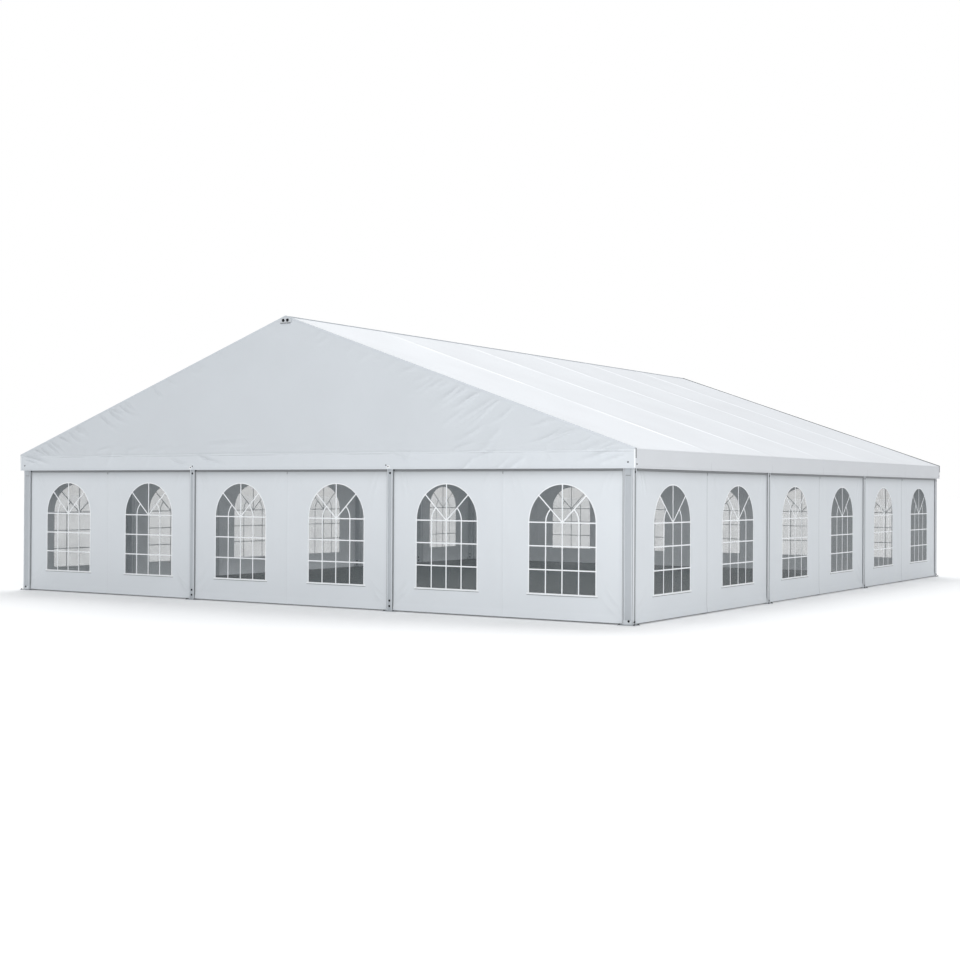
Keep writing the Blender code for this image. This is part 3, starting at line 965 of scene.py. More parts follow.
def curtainSheet(wall):
    # a fine grid with both window openings left out, its arches pulled onto their line
    middle, lap = (wall["low"] + wall["high"]) / 2, curtain["seamLap"]
    columns = [wall["low"]]
    for window in wall["windows"]:
        columns += [window["middle"] - window["half"], window["middle"] + window["half"]]
    line = curtain["jointHalf"]
    for half in (lap, lap * 0.8, line):
        columns += [middle - half, middle + half]
    columns = sorted(columns + [wall["high"]])
    sill, spring, rise = (wall["windows"][0][key] for key in ("sill", "spring", "rise"))
    rows = evenly([curtain["foot"], 0.06, 0.15, sill, spring, spring + rise, curtain["top"]])
    z, u = np.meshgrid(rows, evenly(columns), indexing="ij")
    faces = gridFaces(*u.shape)
    centreU, centreZ = u.ravel()[faces].mean(axis=1), z.ravel()[faces].mean(axis=1)
    isOpen = np.zeros(len(faces), bool)
    points = np.stack([u.ravel(), z.ravel()], axis=-1)
    for window in wall["windows"]:
        half = window["half"]
        above = np.maximum(centreZ - spring, 0) / rise
        reach = ((centreU - window["middle"]) / half) ** 2 + above**2
        isHole = (reach < 1) & (centreZ > sill)
        isOpen |= isHole
        edge = np.intersect1d(faces[isHole], faces[~isHole])
        edge = edge[points[edge, 1] > spring + 0.001]
        du, dz = (points[edge, 0] - window["middle"]) / half, (points[edge, 1] - spring) / rise
        scale = 1 / np.hypot(du, dz)
        points[edge] = np.stack([window["middle"] + du * scale * half, spring + dz * scale * rise], axis=-1)
    faces = faces[~isOpen]
    used, faces = np.unique(faces, return_inverse=True)
    faces, points = faces.reshape(-1, 4), points[used]
    nearSeam = np.clip((lap - np.abs(points[:, 0] - middle)) / (0.2 * lap), 0, 1)
    solid = np.stack([points[:, 0], -curtain["seamLift"] * nearSeam, points[:, 1]], axis=-1)
    flat = points - np.array([middle, 0])
    piece = clothFrom(wall["name"], solid, faces, flat, (0, -1, 0), curtainPvc)
    if wall["name"].startswith("side"):
        piece.data.materials.append(jointPvc)
        for face in piece.data.polygons:
            if abs(face.center.x - middle) < line:
                face.material_index = 1
    return thicken(placeOnWall(piece, wall), tent["cloth"])


def filmSheet(wall):
    # clear sheet behind the bars of both windows
    points, faces, flat, count = [], [], [], 0
    share = np.linspace(1, 0.08, glazing["rings"])[:, None, None]
    for window in wall["windows"]:
        ring = archRing(window, glazing["lap"])
        centre = np.array([window["middle"], (window["sill"] + window["spring"]) / 2 + 0.25])
        rings = centre + share * (ring - centre)
        size = rings.shape[1]
        faces += (gridFaces(glazing["rings"], size, closed=True) + count).tolist()
        last = count + (glazing["rings"] - 1) * size
        flat.append(rings.reshape(-1, 2))
        faces.append([last + step for step in range(size)])
        count += rings.shape[0] * size
    flat = np.concatenate(flat)
    mesh = bpy.data.meshes.new(wall["film"])
    off = -0.0012
    mesh.from_pydata([(u, off, z) for u, z in flat.tolist()], [], faces)
    corners = np.empty(len(mesh.loops), np.int32)
    mesh.loops.foreach_get("vertex_index", corners)
    mesh.uv_layers.new(name="cloth").data.foreach_set("uv", flat[corners].ravel())
    mesh.materials.append(clearFilm)
    piece = bpy.data.objects.new(wall["film"], mesh)
    bpy.context.scene.collection.objects.link(piece)
    openMesh(piece)
    bpy.ops.mesh.select_all(action="SELECT")
    bpy.ops.mesh.normals_make_consistent(inside=False)
    closeMesh()
    if piece.data.polygons[0].normal.y > 0:
        piece.data.flip_normals()
    return thicken(placeOnWall(piece, wall), glazing["film"])


def unite(piece, others):
    for other in others:
        applyModifier(piece, "BOOLEAN", {"operation": "UNION", "object": other, "solver": "EXACT"})
        discard(other)
    return piece


def spunStrip(name, radius, width, startAngle, endAngle, steps, depth):
    # a flat strip bent round the spring line's middle: a small block's end, spun
    piece = addBlock(name, (radius - width / 2, -depth, -0.0005), (radius + width / 2, 0, 0), whiteStrip)
    pickFaces(piece, lambda face: face.normal.z > 0.9)
    bpy.ops.mesh.spin(steps=steps, angle=endAngle - startAngle, center=(0, 0, 0), axis=(0, 1, 0))
    bpy.ops.mesh.select_all(action="SELECT")
    bpy.ops.mesh.remove_doubles(threshold=0.00001)
    bpy.ops.mesh.normals_make_consistent(inside=False)
    closeMesh()
    piece.data.transform(Matrix.Rotation(-startAngle, 4, "Y"))
    return piece


def windowBars(half, sill, spring, rise):
    # the white strips of one window, with its middle at u = 0; z is the real height
    bar, thick, drop = glazing["bar"], glazing["thick"], spring - sill
    border = glazing["border"]
    pieces = []
    ring = spunStrip("border", half + border / 2, border, 0, math.pi, 32, thick)
    pickFaces(ring, lambda face: face.normal.z < -0.9 and face.center.z < 0.01)
    bpy.ops.mesh.extrude_region_move(TRANSFORM_OT_translate={"value": (0, 0, -drop)})
    closeMesh()
    for u in (-half / 2, 0, half / 2):
        top = rise + border / 2 if u == 0 else 0
        pieces.append(addBlock("bar", (u - bar / 2, -thick, -drop - 0.01), (u + bar / 2, 0, top), whiteStrip))
    for row in range(3):
        z = -drop + drop * (row + 1) / 3
        pieces.append(addBlock("bar", (-half - border / 2, -thick, z - bar / 2), (half + border / 2, 0, z + bar / 2), whiteStrip))
    for angle in (math.radians(45), math.radians(135)):
        ray = addBlock("ray", (0, -thick, -bar / 2), (half + border / 2, 0, bar / 2), whiteStrip)
        ray.data.transform(Matrix.Rotation(-angle, 4, "Y"))
        pieces.append(ray)
    for start in (0, math.radians(135)):
        pieces.append(spunStrip("arc", half / 2, bar, start, start + math.radians(45), 8, thick))
    bars = unite(ring, pieces)
    bars.data.transform(Matrix.Translation((0, 0, spring)))
    lap = glazing["sillLap"]
    strip = addBlock("sill", (-half - lap, -glazing["sillProud"], sill - glazing["sillHigh"]), (half + lap, 0, sill + 0.004), whiteStrip)
    pickFaces(strip, lambda face: face.normal.y < -0.9)
    bpy.ops.mesh.inset(thickness=0.006, depth=0.0)
    bpy.ops.transform.translate(value=(0, -0.003, 0))
    closeMesh()
    roundEdges(strip, 0.002)
    low = sill - glazing["sillHigh"]
    # a dark strip under the sill, its painted shadow line
    drip = addBlock("drip", (-half - lap, -glazing["sillProud"] * 0.8, low - glazing["dripHigh"]), (half + lap, 0, low), weltPvc)
    drip.data.materials[0] = railAndShadeMetal
    return joinAll("windowBars", [bars, strip, drip])


def wallOf(node, film, width, degrees, chance):
    turn = Matrix.Rotation(math.radians(degrees), 4, "Z")
    low, high = localBox(node, turn)
    middleY = (low.y + high.y) / 2
    parts = node.split("_")
    name = parts[0] + "".join(part.title() for part in parts[1:])
    wall = {"name": name, "film": name.replace("Curtain", "Film"), "turn": turn, "low": low.x, "high": high.x}
    wall.update(face=middleY - 0.002, chance=chance.random(), folds=curtainFolds(low.x, high.x, chance))
    wall.update(windows=windowsOf(wall, film, width))
    return wall


def hangCurtain(node, width, degrees, bars, chance):
    film = node.replace("curtain", "window_film")
    wall = wallOf(node, film, width, degrees, chance)
    sheet = curtainSheet(wall)
    clear = filmSheet(wall)
    trims = []
    for window in wall["windows"]:
        trim = copyTo(bars, "trim", Matrix.Translation((window["middle"], -0.0004, 0)))
        trims.append(placeOnWall(trim, wall))
    trim = joinAll(wall["name"].replace("Curtain", "WindowBars"), trims)
    bottomRail, track = groundRail(wall), topTrackAndShadow(wall)
    finishPiece(sheet, "wall_pvc", node)
    finishPiece(clear, "clear_film", film)
    finishPiece(trim, "roof_pvc")
    finishPiece(bottomRail, "aluminium")
    finishPiece(track, "aluminium")
    wide, high = wall["high"] - wall["low"], curtain["top"] - curtain["foot"]
    window = wall["windows"][0]
    rise, drop = window["rise"], window["spring"] - window["sill"]
    hole = 2 * window["half"] * drop + math.pi / 2 * window["half"] * rise
    area = wide * high - 2 * hole
    lap = glazing["lap"]
    clearWide = wall["windows"][1]["middle"] - wall["windows"][0]["middle"] + 2 * (window["half"] + lap)
    clearArea = 2 * (2 * (window["half"] + lap) * (drop + lap) + math.pi / 2 * (window["half"] + lap) * (rise + lap))
    drop + rise + 2 * lap


rail = {"high": 0.020, "thick": 0.022, "foot": 0.0123, "groove": 0.003}
# the track and its side strips, dark, also painted shadow under the valance and beside the posts
trackRail = {
    "low": 2.588,
    "high": 2.665,
    "front": 0.016,
    "back": 0.004,
    "groove": 0.004,
    "stop": (0.006, 0.045),
    "sideWide": 0.016,
    "foot": 0.035,
}


def groundRail(wall):
    # a dark rail behind the foot of the curtain, grooved along its face
    middleY = wall["face"] + 0.004 + rail["thick"] / 2
    low = (wall["low"] + 0.002, middleY - rail["thick"] / 2, rail["foot"])
    high = (wall["high"] - 0.002, middleY + rail["thick"] / 2, rail["foot"] + rail["high"])
    piece = addBlock(wall["name"].replace("Curtain", "GroundRail"), low, high, railAndShadeMetal)
    pickFaces(piece, lambda face: abs(face.normal.y) > 0.9)
    bpy.ops.mesh.inset(thickness=0.005, depth=-rail["groove"], use_individual=True)
    closeMesh()
    roundEdges(piece, 0.0015)
    piece.data.transform(wall["turn"])
    return piece


def topTrackAndShadow(wall):
    # the keder track that the curtain slides in, with its mouth downwards and a black end screw; the track and the
    # strips down both edges of the curtain are in the dark rail metal, as painted shadow under the valance and beside
    # the posts
    front, back = wall["face"] - trackRail["front"], wall["face"] - trackRail["back"]
    low = (wall["low"] + 0.004, front, trackRail["low"])
    high = (wall["high"] - 0.004, back, trackRail["high"])
    piece = addBlock(wall["name"].replace("Curtain", "TopTrackAndShadow"), low, high, railAndShadeMetal)
    pickFaces(piece, lambda face: face.normal.z < -0.9)
    bpy.ops.mesh.inset(thickness=0.003, depth=-trackRail["groove"])
    closeMesh()
    pickFaces(piece, lambda face: face.normal.y < -0.9 and face.area > 0.1)
    bpy.ops.mesh.inset(thickness=0.010, depth=-0.002)
    closeMesh()
    roundEdges(piece, 0.0015)
    screwX, screwZ = low[0] + 0.018, (low[2] + high[2]) / 2 - 0.012
    screw = boltsAt([(screwX, front, screwZ)], "-y", 0.7)
    half, drop = trackRail["stop"]
    middle = (low[0] + high[0]) / 2
    stop = addBlock("stop", (middle - half, front + 0.002, low[2] - drop), (middle + half, back - 0.004, low[2] + 0.001), railAndShadeMetal)
    roundEdges(stop, 0.002)
    # dark strips down both edges of the curtain, painted shadow beside the posts
    wide = trackRail["sideWide"]
    sides = []
    for start in (wall["low"] + 0.001, wall["high"] - 0.001 - wide):
        side = addBlock("side", (start, front, trackRail["foot"]), (start + wide, back, low[2]), railAndShadeMetal)
        sides.append(roundEdges(side, 0.002))
    piece = joinAll(piece.name, [piece, stop] + sides + screw)
    piece.data.transform(wall["turn"])
    return piece


def allCurtains():
    chance = random.Random(21)
    spring = windowCut["spring"]
    low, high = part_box("gable_window_film_front_left")
    sill, rise = low.z + windowCut["lap"], high.z - windowCut["lap"] - spring
    gableBars = windowBars(windowCut["gableWidth"] / 2, sill, spring, rise)
    sideBars = copyTo(gableBars, "sideBars", Matrix.Diagonal((windowCut["sideWidth"] / windowCut["gableWidth"], 1, 1, 1)))
    for end, degrees in (("front", 0), ("back", 180)):
        for part in ("left", "centre", "right"):
            hangCurtain(f"gable_curtain_{end}_{part}", windowCut["gableWidth"], degrees, gableBars, chance)
    for side, degrees in (("right", 90), ("left", -90)):
        for number in (1, 2, 3):
            hangCurtain(f"side_curtain_{side}_{number}", windowCut["sideWidth"], degrees, sideBars, chance)
    discard(gableBars)
    discard(sideBars)


allCurtains()
print("curtains hung and glazed")

# Aluminium profile, used for legs and rafters

profile = {
    "depth": 0.20,
    "width": 0.11,
    "lip": 0.013,
    "mouth": 0.009,
    "channel": 0.018,
    "flange": 0.040,  # lip, channel and land together
    "recess": 0.004,  # of the web between the flanges
}


def pushProfile(name, corner, steps, section, travel):
    # a plane cut into cells along two directions, the channels' cells removed, the rest extruded
    firstAxis, secondAxis = steps
    first, second = section["first"], section["second"]
    corner = Vector(corner)
    size = (first[-1], second[-1])
    mesh = bpy.data.meshes.new(name)
    spot = [corner, corner + firstAxis * size[0], corner + firstAxis * size[0] + secondAxis * size[1], corner + secondAxis * size[1]]
    mesh.from_pydata([tuple(point) for point in spot], [], [(0, 1, 2, 3)])
    piece = bpy.data.objects.new(name, mesh)
    bpy.context.scene.collection.objects.link(piece)
    openMesh(piece)
    for axis, cuts in ((firstAxis, first), (secondAxis, second)):
        for cut in cuts[1:-1]:
            bpy.ops.mesh.select_all(action="SELECT")
            bpy.ops.mesh.bisect(plane_co=corner + axis * cut, plane_no=axis.normalized())
    bpy.ops.object.mode_set(mode="OBJECT")

    def isHollow(face):
        offset = face.center - corner
        a = offset.dot(firstAxis) / firstAxis.length_squared
        b = offset.dot(secondAxis) / secondAxis.length_squared
        return any(lowA < a < highA and lowB < b < highB for lowA, highA, lowB, highB in section["hollows"])

    pickFaces(piece, isHollow)
    bpy.ops.mesh.delete(type="FACE")
    bpy.ops.mesh.select_all(action="SELECT")
    bpy.ops.mesh.extrude_region_move(TRANSFORM_OT_translate={"value": travel})
    bpy.ops.mesh.select_all(action="SELECT")
    bpy.ops.mesh.normals_make_consistent(inside=False)
    bpy.ops.mesh.dissolve_limited(angle_limit=0.01)
    closeMesh()
    # slots: the metal, its painted-shade copy, its painted-highlight copy, and the dark rail metal as painted shade
    for metal in (profileMetal, profileShade, profilePaintedHighlight, railAndShadeMetal):
        piece.data.materials.append(metal)
    return piece


def profileSection(values, depth, width):
    lip, mouth, channel = values["lip"], values["mouth"], values["channel"]
    flange, recess = values["flange"], values["recess"]
    first = [0, recess, lip, lip + mouth, flange, depth - flange, depth - lip - mouth, depth - lip, depth - recess, depth]
    second = [0, recess, channel, width * 0.30, width * 0.70, width - channel, width - recess, width]
    hollows = []
    for low, high in ((lip, lip + mouth), (depth - lip - mouth, depth - lip)):
        hollows += [(low, high, -1, channel), (low, high, width - channel, width + 1)]
    hollows += [(flange, depth - flange, -1, recess), (flange, depth - flange, width - recess, width + 1)]
    hollows += [(-1, recess, width * 0.30, width * 0.70), (depth - recess, depth + 1, width * 0.30, width * 0.70)]
    return {"first": first, "second": second, "hollows": hollows}


def shadeRecesses(piece, outside):
    # painted shade: the faces that lie below the outer skin take the darker, shaded copy of the metal
    for face in piece.data.polygons:
        if outside(face):
            face.material_index = 1
    return piece


plate = {"thick": 0.012, "out": 0.05, "in": 0.08, "halfY": 0.105}
knee = {"run": 1.0, "foot": 2.72, "collar": 0.35, "wide": 0.09}


def legPiece(side, legOuter):
    depth, width = profile["depth"], profile["width"]
    start = side * (legOuter - depth)
    section = profileSection(profile, depth, width)
    top = rafterTop(tent["legX"]) - depth / math.cos(tilt) - 0.0005
    foot = plate["thick"]
    leg = pushProfile("leg", (start, -width / 2, foot), (Vector((side, 0, 0)), Vector((0, 1, 0))), section, (0, 0, top - foot))
    low, high = legOuter - depth + 0.001, legOuter - 0.001

    def sunk(face):
        x, y = abs(face.center.x), abs(face.center.y)
        return low < x < high and y < width / 2 - 0.001

    shadeRecesses(leg, sunk)
    # painted light at the outer corner: the lips of the front and back faces take the painted highlight, and the
    # groove of the outer face and a thin strip along the corner edge take the dark rail metal as painted shade
    for face in leg.data.polygons:
        x, y = abs(face.center.x), abs(face.center.y)
        if y > width / 2 - 0.001 and x > legOuter - profile["lip"]:
            face.material_index = 2
        if x > legOuter - profile["lip"] and abs(face.normal.x) > 0.9 and y < width * 0.2 and x < legOuter - 0.001:
            face.material_index = 3
        if y > width / 2 - 0.001 and x > legOuter - profile["recess"]:
            face.material_index = 3
    return leg


def rafterPiece(side):
    depth, width = profile["depth"], profile["width"]
    rise = 1 / math.cos(tilt)
    section = profileSection(profile, depth, width)
    bottom = rafterTop(0) - depth * rise
    section = dict(section)
    run = tent["legX"]
    up = Vector((0, 0, rise))
    rafter = pushProfile("rafter", (0, -width / 2, bottom), (up, Vector((0, 1, 0))), section, (side * run, 0, -slope * run))
    return shadeRecesses(rafter, lambda face: abs(face.center.y) < width / 2 - 0.001)


def pointedBlock(name, low, high, cuts, metal):
    # a block sawn to shape along sloping lines
    piece = addBlock(name, low, high, metal)
    for point, normal in cuts:
        cutAway(piece, point, normal)
    return roundEdges(piece, 0.002)


def kneePiece(side):
    # welded steel insert in the corner under the rafter
    half = knee["wide"] / 2
    inner = tent["legX"] - profile["depth"]
    nearX, farX = side * (inner + 0.002), side * (tent["legX"] - knee["run"])
    rise = profile["depth"] / math.cos(tilt)
    farZ = rafterTop(farX) - rise
    low = (min(nearX, farX), -half, knee["foot"])
    high = (max(nearX, farX), half, farZ)
    under = Vector((side * slope, 0, 1)).normalized()
    strut = Vector((farX - nearX, 0, farZ - knee["foot"]))
    below = Vector((-side * abs(strut.z), 0, -abs(strut.x))).normalized()
    cuts = [((farX, 0, farZ - 0.001), under), ((nearX, 0, knee["foot"]), below)]
    return pointedBlock("knee", low, high, cuts, zincSteel)


def collarPiece():
    # steel splice under the ridge
    half, reach = knee["wide"] / 2, knee["collar"]
    rise = profile["depth"] / math.cos(tilt)
    bottom = rafterTop(reach) - rise
    cuts = [((0, 0, rafterTop(0) - rise - 0.001), Vector((side * slope, 0, 1)).normalized()) for side in (-1, 1)]
    return pointedBlock("collar", (-reach, -half, bottom), (reach, half, bottom + 0.2), cuts, zincSteel)


def notched(piece):
    # room for the ridge beam and the purlins in the rafters
    beamLow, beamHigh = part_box("ridge_beam")
    boxes = [(beamLow.x, beamHigh.x, beamLow.z, beamHigh.z)]
    for side in ("left", "right"):
        low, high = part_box(f"roof_purlin_{side}")
        boxes.append((low.x, high.x, low.z, high.z))
    gap = 0.0005
    for lowX, highX, lowZ, highZ in boxes:
        cutter = addBlock("cutter", (lowX - gap, -0.2, lowZ - gap), (highX + gap, 0.2, highZ + 0.1), zincSteel)
        applyModifier(piece, "BOOLEAN", {"operation": "DIFFERENCE", "object": cutter, "solver": "EXACT"})
        discard(cutter)
    return piece


def footPiece(side, legOuter, isOut):
    # base plate
    low = legOuter - profile["depth"] - plate["in"]
    if not isOut:
        low = tent["legX"] - profile["depth"] - plate["in"]
    high = legOuter + (plate["out"] if isOut else 0.01)
    edges = sorted((side * low, side * high))
    base = addBlock("base", (edges[0], -plate["halfY"], 0), (edges[1], plate["halfY"], plate["thick"]), zincSteel)
    roundEdges(base, 0.003)
    return base, low, high


def modelFrame(legOuter):
    isOut = legOuter == tent["legX"]
    pieces = []
    rafters = joinAll("rafters", [rafterPiece(-1), rafterPiece(1)])
    openMesh(rafters)
    bpy.ops.mesh.select_all(action="SELECT")
    bpy.ops.mesh.remove_doubles(threshold=0.0002)
    closeMesh()
    pieces.append(notched(rafters))
    pieces.append(collarPiece())
    for side in (-1, 1):
        pieces += [legPiece(side, legOuter), kneePiece(side)]
        base, low, high = footPiece(side, legOuter, isOut)
        pieces.append(base)
        spots = [(side * (low + 0.03), y, plate["thick"]) for y in (-0.08, 0.08)]
        if isOut:
            spots += [(side * (high - 0.024), y, plate["thick"]) for y in (-0.08, 0.08)]
        pieces += boltsAt(spots, "+z")
    return joinAll("frameModel", pieces)


def boltedFrame(number, model):
    # the frame at its place, with bolts on the faces that are free
    y = bayLines[number - 1]
    isOut = number % 2 == 1
    half = profile["width"] / 2
    frameCopy = copyTo(model, f"portalFrame{number}", Matrix.Translation((0, y, 0)))
    legOuter = tent["legX"] - (0 if isOut else tent["setBack"])
    pieces = [frameCopy]
    faces = []
    if number > 1:
        faces.append(("-y", y - half))
    if number <= tent["bays"]:
        faces.append(("+y", y + half))
    for direction, faceY in faces:
        sunkY = faceY + (profile["recess"] if direction == "-y" else -profile["recess"])
        for side in (-1, 1):
            legX = side * (legOuter - profile["depth"] / 2)
            spots = [(legX, sunkY, 0.10), (legX, sunkY, 0.20), (legX, sunkY, 2.42), (legX, sunkY, 2.58)]
            for x in (7.15, 6.9, 6.65, 0.16, 0.30):
                spots.append((side * x, sunkY, rafterTop(x) - profile["depth"] / math.cos(tilt) / 2))
            pieces += boltsAt(spots, direction)
    if isOut:
        outer = tent["legX"] - profile["recess"]
        for side, direction in ((-1, "-x"), (1, "+x")):
            pieces += boltsAt([(side * outer, y, 0.065), (side * outer, y, 2.57)], direction, 0.9)
    return joinAll(f"portalFrame{number}", pieces)


outModel, inModel = modelFrame(tent["legX"]), modelFrame(tent["legX"] - tent["setBack"])
for number in range(1, tent["bays"] + 2):
    piece = boltedFrame(number, outModel if number % 2 else inModel)
    smoothBy(piece, 25)
    finishPiece(piece, "aluminium", f"portal_frame_{number}")
discard(outModel)
discard(inModel)
print("frames standing")

# Gable uprights

upright = {"x": 2.475, "width": 0.12, "plateX": 0.13}


def modelUpright():
    # faces -Y: channels in its sides for the curtains, a sunk web between light lips in front, the web in the shaded
    # copy of the metal as painted shade
    width, deep = upright["width"], profile["width"]
    lip, mouth, channel, recess = 0.020, 0.009, 0.018, 0.005
    first = [0, channel, lip * 1.2, width - lip * 1.2, width - channel, width]
    second = [0, recess, lip, lip + mouth, deep - lip - mouth, deep - lip, deep - recess, deep]
    hollows = []
    for low, high in ((lip, lip + mouth), (deep - lip - mouth, deep - lip)):
        hollows += [(-1, channel, low, high), (width - channel, width + 1, low, high)]
    for low, high in ((-1, recess), (deep - recess, deep + 1)):
        hollows.append((lip * 1.2, width - lip * 1.2, low, high))
    section = {"first": first, "second": second, "hollows": hollows}
    x = upright["x"]
    top = rafterTop(x + width / 2) - profile["depth"] / math.cos(tilt) + 0.03
    foot = plate["thick"]
    post = pushProfile("post", (x - width / 2, -deep / 2, foot), (Vector((1, 0, 0)), Vector((0, 1, 0))), section, (0, 0, top - foot))
    slant = Vector((slope, 0, 1)).normalized()
    underside = rafterTop(x) - profile["depth"] / math.cos(tilt) - 0.001
    cutAway(post, (x, 0, underside), slant)
    shadeRecesses(post, lambda face: abs(face.center.y) < deep / 2 - 0.001 and abs(face.center.x - x) < width / 2 - 0.001)
    base = addBlock("base", (x - upright["plateX"], -plate["halfY"], 0), (x + upright["plateX"], plate["halfY"], plate["thick"]), zincSteel)
    roundEdges(base, 0.003)
    pieces = [post, base]
    pieces += boltsAt([(x + dx, dy, plate["thick"]) for dx in (-0.1, 0.1) for dy in (-0.08, 0.08)], "+z")
    face = -deep / 2 + recess
    pieces += boltsAt([(x, face, 0.10), (x, face, 0.20), (x, face, 2.56)], "-y")
    return joinAll("uprightModel", pieces)


uprightModel = modelUpright()
mirror = Matrix.Diagonal((-1, 1, 1, 1))
for end, y, turn in (("front", bayLines[0], Matrix.Identity(4)), ("back", bayLines[-1], Matrix.Diagonal((1, -1, 1, 1)))):
    for side, flip in (("left", mirror), ("right", Matrix.Identity(4))):
        name = f"gableUpright{end.title()}{side.title()}"
        piece = copyTo(uprightModel, name, Matrix.Translation((0, y, 0)) @ turn @ flip)
        smoothBy(piece, 25)
        finishPiece(piece, "aluminium", f"gable_upright_{end}_{side}")
discard(uprightModel)
print("uprights standing")

# Strips along the edges of the covers, and the fittings at the corners and the ridge

ridgeStrip = {"half": 0.020, "high": 0.017, "end": 9.02}
apexPlate = {"half": 0.15, "high": 0.125, "thick": 0.006, "bolts": 0.052, "boltDrop": 0.078}
cornerPlate = {"x": 7.392, "half": 0.046, "low": 2.52, "high": 2.64, "thick": 0.005}
footPlate = {"low": 7.318, "high": 7.462, "top": 0.088, "thick": 0.005, "boltX": 7.417, "boltZ": 0.072}
valancePlate = {"half": 0.030, "low": 2.645, "high": 2.705, "thick": 0.003}


def stripBlock(name, low, high, cloth):
    # a flat strip, stitched along the middle of its face
    piece = addBlock(name, low, high, cloth)
    pickFaces(piece, lambda face: face.normal.y < -0.9)
    bpy.ops.mesh.inset(thickness=edgeStrip["stitch"], depth=0.0)
    bpy.ops.mesh.inset(thickness=0.0015, depth=-0.0012)
    closeMesh()
    return roundEdges(piece, 0.0012)


def plainPlate(name, low, high, metal, width=0.0015):
    piece = addBlock(name, low, high, metal)
    pickFaces(piece, lambda face: face.normal.y < -0.9)
    bpy.ops.mesh.inset(thickness=0.003, depth=0.0006)
    closeMesh()
    return roundEdges(piece, width)


def gableStrips():
    # a welt that stands up along both rakes, and a white strip down both corners
    wide, thick = edgeStrip["wide"], edgeStrip["thick"]
    face = -tent["gableY"] - edgeStrip["proud"]
    long = math.hypot(tent["eaveX"], tent["ridgeZ"] - tent["eaveZ"])
    rake = stripBlock("rake", (-0.1, -thick, -edgeStrip["rakeWide"]), (long, 0, edgeStrip["rakeHigh"]), weltPvc)
    rake.data.transform(Matrix.Translation((0, face, tent["ridgeZ"])) @ Matrix.Rotation(tilt, 4, "Y"))
    cutAway(rake, (0, 0, 0), (-1, 0, 0))
    # a dark cord behind the welt, painted shade along the rake's edge
    cord = addBlock("cord", (-0.1, 0.003, 0), (long, 0.013, edgeStrip["rakeHigh"] - 0.001), railAndShadeMetal)
    cord.data.transform(Matrix.Translation((0, face, tent["ridgeZ"])) @ Matrix.Rotation(tilt, 4, "Y"))
    cutAway(cord, (0, 0, 0), (-1, 0, 0))
    roundEdges(cord, 0.003)
    edge = tent["eaveX"]
    low, high = (edge - wide, face - thick, tent["valanceZ"]), (edge + 0.002, face, tent["eaveZ"] - 0.01)
    corner = stripBlock("corner", low, high, whiteStrip)
    twins = [copyTo(piece, "twin", Matrix.Diagonal((-1, 1, 1, 1))) for piece in (rake, corner, cord)]
    return joinAll("gableStripsFront", [rake, corner, cord] + twins)


def apexFitting():
    # a pointed plate with two black bolts, and a dark lip under it as its painted shadow
    face = -tent["gableY"] - edgeStrip["proud"] - edgeStrip["thick"]
    half, peak = apexPlate["half"], tent["ridgeZ"] + 0.002
    low, high = (-half, face - apexPlate["thick"], peak - apexPlate["high"]), (half, face, peak)
    cuts = [((0, 0, peak), Vector((side * slope, 0, 1)).normalized()) for side in (-1, 1)]
    plateBlock = pointedBlock("apexPlate", low, high, cuts, profileMetal)
    # a dark lip under the plate, its painted shadow
    lip = addBlock("lip", (-half * 0.8, face - 0.016, low[2] - 0.016), (half * 0.8, face, low[2] - 0.001), railAndShadeMetal)
    roundEdges(lip, 0.002)
    boltZ = peak - apexPlate["boltDrop"]
    bolts = boltsAt([(side * apexPlate["bolts"], low[1], boltZ) for side in (-1, 1)], "-y", 1.5)
    return [plateBlock, lip] + bolts


def cornerFitting():
    # front right corner: top plate with a dark strip under it as its painted shadow, foot plate, valance bolts, and a
    # dark block at the end of the cover's welt as painted shadow in the slit there
    legFace = -tent["bay"] * tent["bays"] / 2 - profile["width"] / 2
    middle, half, thick = cornerPlate["x"], cornerPlate["half"], cornerPlate["thick"]
    low, high = (middle - half, legFace - thick, cornerPlate["low"]), (middle + half, legFace, cornerPlate["high"])
    pieces = [plainPlate("topPlate", low, high, profileShade)]
    # a dark strip under the top plate, its painted shadow
    pieces.append(addBlock("topShade", (low[0], low[1], low[2] - 0.012), (high[0], high[1], low[2]), railAndShadeMetal))
    thick = footPlate["thick"]
    low, high = (footPlate["low"], legFace - thick, plate["thick"] + 0.001), (footPlate["high"], legFace, footPlate["top"])
    pieces.append(plainPlate("footPlate", low, high, profileMetal))
    pieces += boltsAt([(footPlate["boltX"], legFace - thick, footPlate["boltZ"])], "-y")
    pieces += boltsAt([(tent["legX"] - profile["recess"], legFace + 0.02, 0.055)], "+x", 0.9)
    gableFace, edge = -tent["gableY"], tent["eaveX"]
    pieces += boltsAt([(7.417, gableFace - 0.002, 2.736)], "-y", 0.65)
    pieces += boltsAt([(edge + 0.002, gableFace + 0.050, 2.702)], "+x", 0.65)
    # a dark block at the welt's end, painted shadow of the slit at the corner
    welt = addBlock("welt", (edge - 0.004, gableFace + 0.001, 2.80), (edge + 0.013, gableFace + 0.024, tent["eaveZ"] + 0.012), railAndShadeMetal)
    pieces.append(roundEdges(welt, 0.004))
    return pieces


def valanceFitting():
    # small plate with its screws on the valance, over the right upright
    x, face = upright["x"], -tent["gableY"] - 0.001
    half, thick = valancePlate["half"], valancePlate["thick"]
    low, high = (x - half, face - thick, valancePlate["low"]), (x + half, face, valancePlate["high"])
    pieces = [plainPlate("valancePlate", low, high, whiteStrip)]
    screws = [(x - 0.004, face - thick, 2.680), (x - 0.055, face + 0.0005, 2.705)]
    return pieces + boltsAt(screws, "-y", 0.6)


